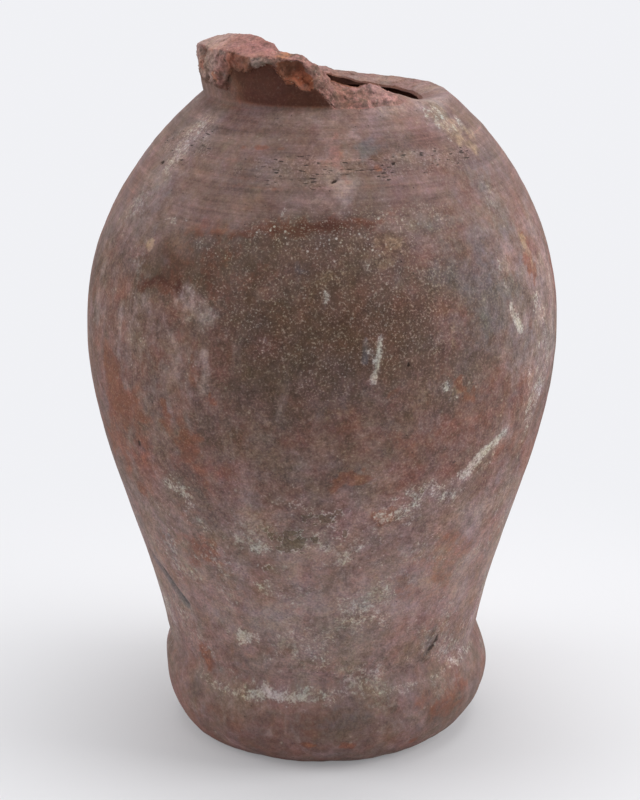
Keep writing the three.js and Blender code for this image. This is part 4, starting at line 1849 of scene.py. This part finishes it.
@dataclass(frozen=True)
class Studio:
    """A plain pale sweep under soft light, stronger from the right and from above."""

    floor_width: float = 12.0
    floor_colour: Colour = (0.75, 0.75, 0.77)
    backdrop: Colour = (0.875, 0.88, 0.91)
    sweep_from: float = 0.08
    sweep_to: float = 0.40
    sweep_near: float = 0.2
    fill: float = 0.42
    lamps: tuple[SoftLamp, ...] = (
        SoftLamp("top_softbox", (0.1, 0.25, 1.5), (0.0, 0.0, 0.2), (1.3, 1.1), 14.0),
        SoftLamp("right_softbox", (1.4, -0.2, 0.8), (0.0, 0.0, 0.17), (0.8, 1.2), 14.0),
        SoftLamp("left_softbox", (-1.4, -0.1, 0.8), (0.0, 0.0, 0.17), (0.8, 1.2), 8.0),
    )

    def set_up(self) -> None:
        """Lay the floor, hang the lamps and set the world's fill light."""
        scene = bpy.context.scene
        scene.view_settings.view_transform = "Standard"
        deselect()
        bpy.ops.mesh.primitive_plane_add(size=self.floor_width, location=(0.0, 0.0, 0.0))
        floor = bpy.context.active_object
        floor.name = "studio_floor"
        floor.data.materials.append(self._floor())
        for lamp in self.lamps:
            lamp.add()
        scene.world = bpy.data.worlds.new("studio")
        paint = Paint(scene.world)
        light = paint.mix(paint.seen(), (self.fill,) * 3, self.backdrop)
        paint.finish(paint.node("ShaderNodeBackground", {}, {"Color": light}), "ShaderNodeOutputWorld")

    def _floor(self) -> Material:
        """Pale matt floor that runs out into the backdrop all round the jar.

        Returns:
            The floor's material.
        """
        pale = bpy.data.materials.new("pale_floor")
        paint = Paint(pale)
        matt = paint.node("ShaderNodeBsdfDiffuse", {}, {"Color": self.floor_colour})
        far = paint.node("ShaderNodeEmission", {}, {"Color": self.backdrop})
        here = paint.node("ShaderNodeTexCoord", {}, {}, "Object")
        away = paint.node("ShaderNodeVectorMath", {"operation": "LENGTH"}, {0: here}, "Value")
        share = self.sweep_near + (1.0 - self.sweep_near) * away.eased(self.sweep_from, self.sweep_to)
        paint.finish(paint.node("ShaderNodeMixShader", {}, {0: share * paint.seen(), 1: matt, 2: far}))
        return pale


BANDS = (
    Band("rings of the wheel", RINGS, 250.0, 305.0, 16.0, 0.9),
    Band("dust on the shoulder", BLOOM, 236.0, 301.0, 12.0, 0.15),
    Band("dust on the lower wall", BLOOM, 40.0, 128.0, 24.0, 0.70),
    Band("grit of the belly", GRIT, 120.0, 240.0, 14.0, 0.35),
    Band("smoke of the belly", SOOT_AND_SHADE, 146.0, 240.0, 18.0, 0.36),
    Band("wiping of the lower wall", WIPE, 48.0, 118.0, 12.0, 0.22),
    Band("lime flecks of the lower wall", FLECKS, 36.0, 128.0, 12.0, 1.0),
    Band("dust on the foot", BLOOM, 0.0, 40.0, 6.0, 0.17),
    Band("red of the lower wall", RUST, 20.0, 128.0, 22.0, 0.36),
    Band("rings of the lower wall", RINGS, 60.0, 112.0, 14.0, 1.0),
)


MARKS: tuple[Patch | Stroke, ...] = (
    Patch("smoke on the belly", SOOT_AND_SHADE, (332, 318), (80, 60), 0.66, soft=0.95, ragged=0.3),
    Patch("smoke on the left", SOOT_AND_SHADE, (168, 268), (40, 22), 0.9, ragged=0.5),
    Patch("smoke beside it", SOOT_AND_SHADE, (225, 255), (36, 20), 0.6, ragged=0.5),
    Patch("red on the left", RUST, (185, 268), (52, 24), 0.42),
    Patch("smoke on the left edge", SOOT_AND_SHADE, (100, 280), (20, 50), 0.5, ragged=0.5),
    Patch("smoke under the shoulder", SOOT_AND_SHADE, (322, 240), (66, 22), 0.5, soft=0.8, ragged=0.3),
    Patch("speckled field", GRIT, (335, 300), (72, 50), 0.65, soft=0.6, ragged=0.25),
    Patch("speckled edge", GRIT, (338, 238), (66, 13), 0.9, soft=0.6, ragged=0.35, turn_deg=4),
    Patch("red line under the shoulder", RUST, (310, 227), (80, 9), 0.72, ragged=0.25, turn_deg=4),
    Patch("wiped right flank", WIPE, (528, 340), (26, 64), 0.95, soft=0.9, ragged=0.3),
    # dust, with a painted sheen along the right edge
    Patch("dust and painted sheen at the right edge", BLOOM, (547, 300), (30, 74), 0.85, soft=0.9, ragged=0.3),
    Patch("wiped left flank", WIPE, (150, 345), (30, 40), 0.55, soft=0.9, ragged=0.5),
    Patch("wiped left edge", WIPE, (98, 300), (20, 60), 0.55, soft=0.9, ragged=0.4),
    Patch("pale lower right", BLOOM, (455, 540), (30, 34), 0.65, soft=0.9, ragged=0.5),
    Patch("pale lower middle", BLOOM, (328, 612), (48, 48), 0.85, soft=0.9, ragged=0.5),
    Patch("pale foot of the belly", BLOOM, (330, 468), (46, 20), 0.42),
    Patch("orange stain on the shoulder", RUST, (339, 163), (13, 24), 0.34, ragged=0.7),
    Patch("dust on the orange stain", BLOOM, (340, 160), (13, 22), 1.0),
    Patch("dark ring by the neck", SOOT_AND_SHADE, (236, 131), (19, 3), 0.55, ragged=0.5),
    Patch("dark ring on the right", SOOT_AND_SHADE, (420, 138), (26, 4), 0.45, ragged=0.5),
    Patch("red ring on the shoulder", RUST, (262, 146), (17, 2.4), 0.62, ragged=0.5),
    Patch("red ring below it", RUST, (255, 186), (26, 2.2), 0.5, ragged=0.5),
    Patch("dusty ring by the neck", BLOOM, (300, 119), (40, 5), 0.5, ragged=0.5),
    Patch("orange spot on the crack", RUST, (379, 170), (2.6, 2.6), 0.9, soft=0.8, ragged=0.45),
    Patch("grey spot on the shoulder", SLATE, (368, 152), (15, 10), 0.85, ragged=0.5),
    Patch("smoke on the grey spot", SOOT_AND_SHADE, (368, 151), (15, 10), 0.8, ragged=0.5),
    Patch("ochre stain by the neck", OCHRE, (452, 129), (16, 21), 0.62, ragged=0.8),
    Patch("pale heart of the ochre stain", LIME, (448, 124), (12, 13), 0.62, ragged=0.8, turn_deg=10),
    Stroke(
        "pale run on the left shoulder", OCHRE, ((207, 117), (190, 134), (176, 150), (163, 172)), 11, 0.42
    ),
    Stroke("lime on the pale run", LIME, ((200, 125), (183, 143), (168, 165)), 9, 0.42, ragged=1.0),
    Stroke("dust on the pale run", BLOOM, ((205, 120), (186, 142), (165, 170)), 16, 0.6, ragged=0.8),
    Stroke("crack on the shoulder", SCAR_AND_SHADE, ((347, 170), (360, 171), (376, 170.5)), 0.7, 0.62, lift=-0.3),
    Patch(
        "pit below the crack", SCAR_AND_SHADE, (334, 182), (2.2, 1), 1.0,
        soft=0.6, ragged=0.3, turn_deg=30, lift=-0.9,
    ),
    Patch("pit right of the crack", SCAR_AND_SHADE, (393, 165), (1.3, 1), 1.0, soft=0.6, ragged=0.3, lift=-0.8),
    Patch("hole on the left shoulder", SCAR_AND_SHADE, (162, 159), (1.4, 1.2), 1.0, soft=0.6, ragged=0.3, lift=-0.8),
    Patch("torn band", TORN, (405, 165), (62, 9), 1.0, soft=0.7, ragged=0.5),
    Patch("torn band on the left", TORN, (300, 170), (34, 10), 0.8, soft=0.8, ragged=0.5),
    Patch("torn clay on the left", TORN, (185, 142), (34, 14), 0.75, soft=0.8, ragged=0.5),
    Patch("pale spot", LIME, (172, 219), (5, 4.6), 0.66, soft=0.8, ragged=0.7),
    Patch("pale spot beside it", LIME, (186, 214), (4, 3), 0.55, soft=0.8, ragged=0.7),
    Stroke("wisp on the left", BLOOM, ((146, 298), (152, 318), (150, 340)), 4, 0.65, ragged=0.9),
    Stroke("wisp at the left edge", BLOOM, ((122, 303), (120, 333), (118, 354)), 5, 0.75, ragged=0.9),
    Stroke("wisp beside the belly", WIPE, ((183, 294), (196, 304), (210, 316)), 9, 0.8, ragged=0.9),
    Stroke("wisp below it", BLOOM, ((205, 354), (207, 372), (203, 390)), 5, 0.95, ragged=0.9),
    Stroke("wisp on the red", BLOOM, ((172, 335), (180, 352), (176, 374)), 4, 0.7, ragged=0.9),
    Patch("pale spot under the shoulder", LIME, (284, 211), (2.4, 4), 0.62, soft=0.7, ragged=0.45),
    Patch("ochre spot on the left", OCHRE, (150, 243), (4, 4.5), 0.75, soft=0.7, ragged=0.45),
    Patch("grey spot on the left", SOOT_AND_SHADE, (165, 252), (6, 3.4), 0.8, soft=0.7, ragged=0.45),
    Patch("red spot on the left", RUST, (178, 288), (4.5, 5), 0.6, soft=0.8, ragged=0.45),
    Patch(
        "lime drop on the belly", LIME, (326, 300), (2, 5.6), 0.95,
        soft=0.6, ragged=0.4, turn_deg=4, lift=0.15,
    ),
    Stroke("lime streak on the belly", LIME, ((381, 338), (378, 356), (373, 383)), 2.4, 0.95, lift=0.15),
    Stroke("grey smear", SLATE, ((366, 340), (365, 362)), 3.2, 0.8),
    Stroke("lime drop on the right", LIME, ((511, 307), (515, 317), (521, 329)), 4.6, 0.9, lift=0.12),
    Stroke("scratch on the right", LIME, ((495, 250), (500, 270), (508, 295)), 1.5, 0.62),
    Patch("orange run on the right", RUST, (529, 262), (5, 15), 0.75, ragged=0.7),
    Patch("ochre run beside it", OCHRE, (525, 246), (4, 10), 0.6, ragged=0.7),
    Patch("dark red on the left", RUST, (150, 284), (20, 9), 0.5, ragged=0.45),
    Patch("smoke on the dark red", SOOT_AND_SHADE, (150, 284), (22, 10), 0.4, ragged=0.45),
    Patch("dusk on the left", SOOT_AND_SHADE, (140, 318), (26, 20), 0.35, ragged=0.5),
    Patch("pale cloud on the left", BLOOM, (199, 313), (7, 5), 0.5, soft=0.9, ragged=0.8),
    Patch("pale cloud below it", BLOOM, (206, 366), (4, 8), 0.7, soft=0.9),
    Patch("red run on the left", RUST, (193, 371), (4, 9), 0.65, soft=0.9),
    Patch("red run below it", RUST, (166, 410), (5, 9), 0.85, soft=0.9),
    Patch("orange spot on the left", RUST, (211, 400), (4, 4.6), 0.7, soft=0.9),
    Patch("grey cloud on the belly", SLATE, (264, 345), (8, 13), 0.42),
    Patch("pale smear on the belly", SLATE, (298, 270), (4, 6), 0.6, soft=0.9, ragged=0.5, turn_deg=20),
    Patch("olive cloud on the belly", OCHRE, (335, 277), (14, 9), 0.46),
    Patch("olive cloud to the right", OCHRE, (386, 254), (27, 14), 0.46),
    Patch("olive haze below", OCHRE, (310, 420), (34, 16), 0.36),
    Patch("grey haze on the right", SLATE, (468, 285), (28, 40), 0.46),
    Patch("grey cloud on the right", SLATE, (476, 252), (8, 14), 0.4),
    Patch("smoke on the right shoulder", SOOT_AND_SHADE, (503, 185), (9, 16), 0.4, ragged=0.5),
    Patch("ochre run on the right", OCHRE, (454, 342), (3.4, 9), 0.6, soft=0.9, ragged=0.7),
    Patch("red cloud on the right", RUST, (470, 396), (12, 6), 0.62, soft=0.9, turn_deg=20),
    Patch("red cloud beside it", RUST, (396, 393), (8, 4), 0.55, soft=0.9),
    Patch("lime spot on the right", LIME, (445, 384), (3.6, 3.6), 0.7, soft=0.7),
    Patch("lime spot below it", LIME, (456, 398), (5, 2.6), 0.55, soft=0.7, turn_deg=10),
    Patch("lime spot on the belly", LIME, (366, 268), (2.6, 3.6), 0.55, soft=0.7, ragged=0.5),
    Patch("lime on the right flank", LIME, (534, 300), (4, 8), 0.5, soft=0.8),
    Patch("red on the right flank", RUST, (531, 326), (4, 8), 0.7, soft=0.9),
    Patch("hole in the belly", SCAR_AND_SHADE, (408, 365), (1.5, 1.3), 1.0, soft=0.6, ragged=0.3, lift=-1.0),
    Stroke("dust of the scrape", BLOOM, ((462, 480), (484, 454), (508, 432)), 8, 0.7, ragged=0.7),
    Stroke("lime scrape", LIME, ((464, 476), (484, 452), (508, 430)), 4.2, 0.85, ragged=0.8, lift=0.1),
    Stroke("lime beside the scrape", LIME, ((470, 480), (490, 462), (497, 445)), 4, 0.45, ragged=1.0),
    Patch("lime field low on the right", LIME, (425, 498), (34, 14), 0.6, ragged=0.8, turn_deg=18),
    Patch("lime field beside it", LIME, (462, 478), (9, 6), 0.5, ragged=0.8, turn_deg=30),
    Patch("dark spot", SCAR_AND_SHADE, (458, 456), (2.2, 1.2), 0.7, soft=0.7, ragged=0.45, turn_deg=30),
    Patch("dark spot below", SCAR_AND_SHADE, (454, 463), (1.6, 1), 0.7, soft=0.7, ragged=0.45, turn_deg=30),
    Patch("orange spot low", RUST, (386, 517), (6.5, 5.6), 1.0, soft=0.7, ragged=0.5),
    Patch("orange spot", RUST, (359, 479), (6, 3.4), 0.95, soft=0.7, ragged=0.5),
    Patch("red spot", RUST, (334, 487), (9, 8), 0.62, soft=0.9),
    Patch("red flank on the left", RUST, (118, 406), (30, 30), 0.92, soft=0.9),
    Patch("red flank below it", RUST, (132, 452), (26, 26), 0.75, soft=0.9, ragged=0.7),
    Patch("red field on the left", RUST, (180, 430), (18, 22), 0.72, ragged=0.7),
    Patch("red field below", RUST, (200, 466), (18, 16), 0.66, ragged=0.7),
    Patch("red field on the lower left", RUST, (190, 540), (22, 24), 0.55, ragged=0.7),
    Patch("red field on the lower right", RUST, (440, 560), (26, 24), 0.45, ragged=0.7),
    Patch("red field above the scrape", RUST, (400, 450), (26, 14), 0.45, ragged=0.7),
    Stroke("slit on the left", SCAR_AND_SHADE, ((138, 438), (141, 453)), 1.2, 0.8, lift=-0.4),
    Patch("lime on the left", LIME, (175, 483), (9, 7), 0.62, soft=0.8, ragged=0.8, turn_deg=-20),
    Patch("lime below it", LIME, (188, 500), (7, 8), 0.62, soft=0.8, ragged=0.8, turn_deg=-20),
    Patch("lime further down", LIME, (200, 523), (7, 6), 0.55, soft=0.8, ragged=0.8, turn_deg=-30),
    Patch("lime in the middle", LIME, (292, 505), (16, 6), 0.45, ragged=0.8),
    Patch("lime right of the crust", LIME, (345, 560), (14, 9), 0.45, ragged=0.8, turn_deg=20),
    Patch("lime left of the crust", LIME, (258, 547), (7, 3.6), 0.7, soft=0.8, ragged=0.7),
    Patch("lime round the crust", LIME, (290, 547), (15, 4), 0.55, soft=0.9, ragged=0.8, lift=0.1),
    Patch("brown crust", CRUST, (297, 541), (14, 7), 0.92, soft=0.9, ragged=0.8, lift=0.3),
    Patch("brown crust above", CRUST, (322, 517), (14, 5), 0.62, ragged=0.9, turn_deg=10, lift=0.2),
    Patch("brown crust to the right", CRUST, (342, 536), (9, 4), 0.55, lift=0.2),
    Patch("brown crust on the left", CRUST, (262, 566), (14, 4), 0.42, turn_deg=-12, lift=0.1),
    Patch("brown crust low on the right", CRUST, (420, 492), (20, 7), 0.46, turn_deg=18, lift=0.1),
    Stroke(
        "groove on the left", SCAR_AND_SHADE, ((150, 549), (166, 572), (186, 602)), 2.2, 0.55, ragged=0.8, lift=-0.6
    ),
    Stroke("pared line on the left", SOOT_AND_SHADE, ((165, 545), (192, 590)), 3, 0.4, lift=-0.3),
    Stroke("grey of the groove", SLATE, ((154, 556), (168, 577), (184, 602)), 5, 0.7, ragged=0.8, lift=-0.2),
    Patch("red on the right of the foot", RUST, (440, 706), (22, 14), 0.52),
    Patch("lime blob above the foot", LIME, (244, 634), (5.5, 5), 0.8, soft=0.6, ragged=0.5, lift=0.2),
    Patch("rust above the foot", RUST, (207, 656), (5, 9), 0.75, soft=0.8, ragged=0.45),
    Stroke(
        "lime in the crease of the foot", LIME,
        ((196, 673), (218, 686), (233, 690), (330, 694), (400, 689), (451, 663), (469, 643)), 4.4, 0.52,
        ragged=1.7, lift=0.1,
    ),
    Patch("shade of the foot", SOOT_AND_SHADE, (325, 722), (48, 15), 0.5, ragged=0.3),
    Patch("grey of the foot", SLATE, (318, 720), (40, 11), 0.5, ragged=0.5),
    Patch("lime on the crease", LIME, (268, 692), (20, 6.5), 0.74, soft=0.8, ragged=0.7),
    Patch("lime below the crease", LIME, (305, 702), (14, 5), 0.5, ragged=0.7),
    Patch(
        "dark slash above the foot", SOOT_AND_SHADE, (431, 645), (5.6, 14), 1.0,
        soft=0.8, ragged=0.4, turn_deg=-28, lift=-0.2,
    ),
    Patch("heart of the slash", SCAR_AND_SHADE, (431, 647), (3, 11), 0.85, ragged=0.5, turn_deg=-28, lift=-0.3),
    Patch("smudge beside the slash", SOOT_AND_SHADE, (431, 684), (8, 5), 0.7, ragged=0.7, turn_deg=20),
    Patch("lime on the right of the foot", LIME, (444, 665), (15, 11), 0.5, soft=0.8),
    Patch("smudge on the foot", SOOT_AND_SHADE, (384, 708), (8, 3.6), 0.8, soft=0.8, ragged=0.45),
    Patch("red at the sole", RUST, (304, 746), (7, 3.6), 0.85, soft=0.8, ragged=0.45),
    Patch("red at the middle of the sole", RUST, (345, 746), (7, 3.4), 0.8, soft=0.8, ragged=0.45),
    Patch("red at the right of the sole", RUST, (410, 741), (6, 3.4), 0.8, soft=0.8, ragged=0.45),
    Patch("wiping of the lower middle", WIPE, (332, 605), (56, 44), 0.9, ragged=0.5),
    Patch("ochre of the orange stain", OCHRE, (338, 160), (12, 20), 0.2),
    Patch("dust of the orange stain", BLOOM, (338, 166), (11, 20), 1.0, soft=0.8, ragged=0.5),
    Patch("grey haze of the right flank", SLATE, (496, 262), (38, 60), 0.42, ragged=0.5),
    Patch("dust of the right flank", BLOOM, (522, 300), (30, 70), 0.34, ragged=0.5),
    Patch("grey haze beside the red line", SLATE, (440, 236), (30, 16), 0.4),
    Patch("shade on the right of the foot", SOOT_AND_SHADE, (446, 706), (26, 18), 0.42, ragged=0.4),
    Patch("worn right shoulder", FLECKS, (480, 185), (34, 40), 0.8, ragged=0.5),
    Patch("worn left shoulder", FLECKS, (150, 200), (30, 44), 0.7, ragged=0.5),
    Patch("dust on the left shoulder", BLOOM, (158, 190), (30, 36), 0.14),
    Patch("grey on the left shoulder", SLATE, (162, 186), (28, 34), 0.42),
    Patch("dust beside the red line", BLOOM, (405, 223), (28, 7), 0.55, ragged=0.5),
    Patch("grey beside the red line", SLATE, (408, 223), (28, 7), 0.36, ragged=0.5),
    Patch("glow of the orange stain", RUST, (339, 160), (9, 17), 0.05),
    Patch("tan of the crust", OCHRE, (326, 532), (36, 16), 0.36, ragged=0.8),
    Patch("lime of the crust", LIME, (330, 546), (34, 12), 0.36, ragged=0.9),
    Patch("dust round the crust", BLOOM, (325, 525), (50, 24), 0.34),
    Patch("dust of the lower middle", BLOOM, (330, 610), (46, 36), 0.4),
    Patch("orange run of the right flank", RUST, (530, 258), (9, 18), 0.72, ragged=0.7),
    Patch("ochre of the orange run", OCHRE, (530, 258), (8, 16), 0.4, ragged=0.8),
    Stroke("lime run of the right flank", LIME, ((534, 312), (539, 340), (537, 372)), 4, 0.5, ragged=1.2),
    Stroke("lime run below it", LIME, ((529, 372), (531, 395), (524, 424)), 4, 0.5, ragged=1.2),
    Stroke("lime run at the edge", LIME, ((545, 262), (549, 292), (551, 330)), 5, 0.45, ragged=1.2),
    Stroke("lime of the left run", LIME, ((204, 121), (186, 141), (166, 167)), 14, 0.26, ragged=1.0),
    Patch("tan dab on the right", OCHRE, (455, 392), (5, 5), 0.6, soft=0.9, ragged=0.8),
    Patch("lime dab on the right", LIME, (447, 388), (4, 4), 0.6, soft=0.9, ragged=0.8),
    Patch("grey of the right flank", SLATE, (527, 330), (22, 66), 0.45, ragged=0.5),
    Patch("grey of the left flank", SLATE, (160, 345), (30, 40), 0.4),
    Patch("flecks of the lower middle", LIME, (330, 606), (46, 36), 0.38, ragged=0.8),
    Patch("flecks above them", LIME, (330, 500), (56, 26), 0.28, ragged=0.8),
    Patch("lime of the ochre stain", LIME, (440, 122), (10, 12), 0.5, ragged=0.8, turn_deg=10),
    Patch("grey on the right shoulder", SLATE, (485, 190), (28, 38), 0.42),
    Patch("pale field on the lower right", LIME, (445, 560), (22, 24), 0.3, ragged=0.8),
    Patch("dust of the lime field", BLOOM, (425, 498), (30, 12), 0.4, ragged=0.8, turn_deg=18),
    Patch("lime beside the blob", LIME, (243, 638), (8, 8), 0.62, soft=0.9, ragged=0.8),
    Stroke("heart of the groove", SOOT_AND_SHADE, ((164, 570), (175, 586), (187, 604)), 2.6, 0.75, lift=-0.1),
    Stroke("bluish groove", SLATE, ((160, 565), (175, 586), (187, 604)), 3.6, 0.7, ragged=0.6),
    Patch(
        "heart of the slit", SCAR_AND_SHADE, (140, 444), (2, 3.2), 1.0, soft=0.8, ragged=0.3, turn_deg=-10, lift=-0.3
    ),
    Patch("glow of the lower middle", LIME, (330, 630), (34, 30), 0.45, soft=0.7, ragged=0.9),
    Patch("bared clay of the orange stain", FRESH, (339, 161), (11, 20), 0.5, soft=0.9),
    Patch("pale cloud at the left edge", LIME, (132, 335), (12, 16), 0.38, soft=0.9, ragged=0.9),
    Patch("pale cloud over the dark red", LIME, (188, 288), (7, 9), 0.42, soft=0.9, ragged=0.9),
    Patch("pale cloud beside the belly", LIME, (203, 316), (8, 10), 0.42, soft=0.9, ragged=0.9),
    Patch("pale cloud below", LIME, (190, 372), (6, 11), 0.4, soft=0.9, ragged=0.9),
    Patch("orange below the crust", RUST, (386, 517), (8, 7), 1.0, soft=0.8),
    Patch("orange above the crust", RUST, (359, 478), (9, 5), 1.0, soft=0.8),
    Patch("orange by the lime spot", RUST, (459, 387), (7, 5), 0.9, soft=0.8),
    Patch("smear of the slash", SOOT_AND_SHADE, (430, 642), (4, 12), 0.95, soft=0.7, ragged=0.5, turn_deg=-15),
    Patch("grey of the smear", SLATE, (429, 640), (5, 13), 0.6, soft=0.8, turn_deg=-15),
    Stroke("lime run on the right edge", LIME, ((539, 300), (546, 340), (541, 385)), 9, 0.48, ragged=1.2),
    Stroke("lime run below the edge", LIME, ((538, 385), (531, 412), (522, 440)), 7, 0.5, ragged=1.2),
    Stroke("left arm of the streak", LIME, ((365, 338), (370, 350), (374, 362)), 1.8, 0.66, ragged=0.8),
    Patch("foot of the streak", LIME, (373, 379), (2.6, 3.6), 0.8, soft=0.8, ragged=0.5),
)


def dress(piece: Piece, node: str, finish: Material) -> None:
    """Give a piece its finish and say what it stands for.

    Args:
        piece: The finished piece.
        node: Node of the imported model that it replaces.
        finish: Its material.
    """
    piece.data.materials.clear()
    piece.data.materials.append(finish)
    piece.name = f"dressed_{node}"
    piece.data.name = piece.name
    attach(piece, BODY)
    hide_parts(node)
    piece.data.calc_loop_triangles()
    LOG.info("%s: %d triangles", piece.name, len(piece.data.loop_triangles))


def main() -> None:
    """Build the jar piece by piece and set up its studio."""
    logging.basicConfig(level=logging.INFO, format="%(message)s")
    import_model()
    view = PhotoView()
    view.add_camera()
    wall_clay = ClayFinish("weathered_clay").material()
    foot_clay = ClayFinish("limed_foot_clay", mottle=0.65, stray_lime=0.56).material()
    broken_clay = ClayFinish("broken_clay").material()
    finishes = {
        Section.FOOT: (Slot.FOOT, foot_clay),
        Section.LOWER: (Slot.WALL, wall_clay),
        Section.BELLY: (Slot.WALL, wall_clay),
        Section.SHOULDER: (Slot.WALL, wall_clay),
        Section.NECK: (Slot.BREAK, broken_clay),
    }
    for section, piece in JarWall(JarLine(), view, MARKS, BANDS).build().items():
        slot, finish = finishes[section]
        dress(piece, section.value, finish)
    dress(CollarFragment().build(), "collar_fragment", broken_clay)
    dress(BaseSlab().build(), "base_slab", wall_clay)
    Studio().set_up()


if __name__ == "__main__":
    main()
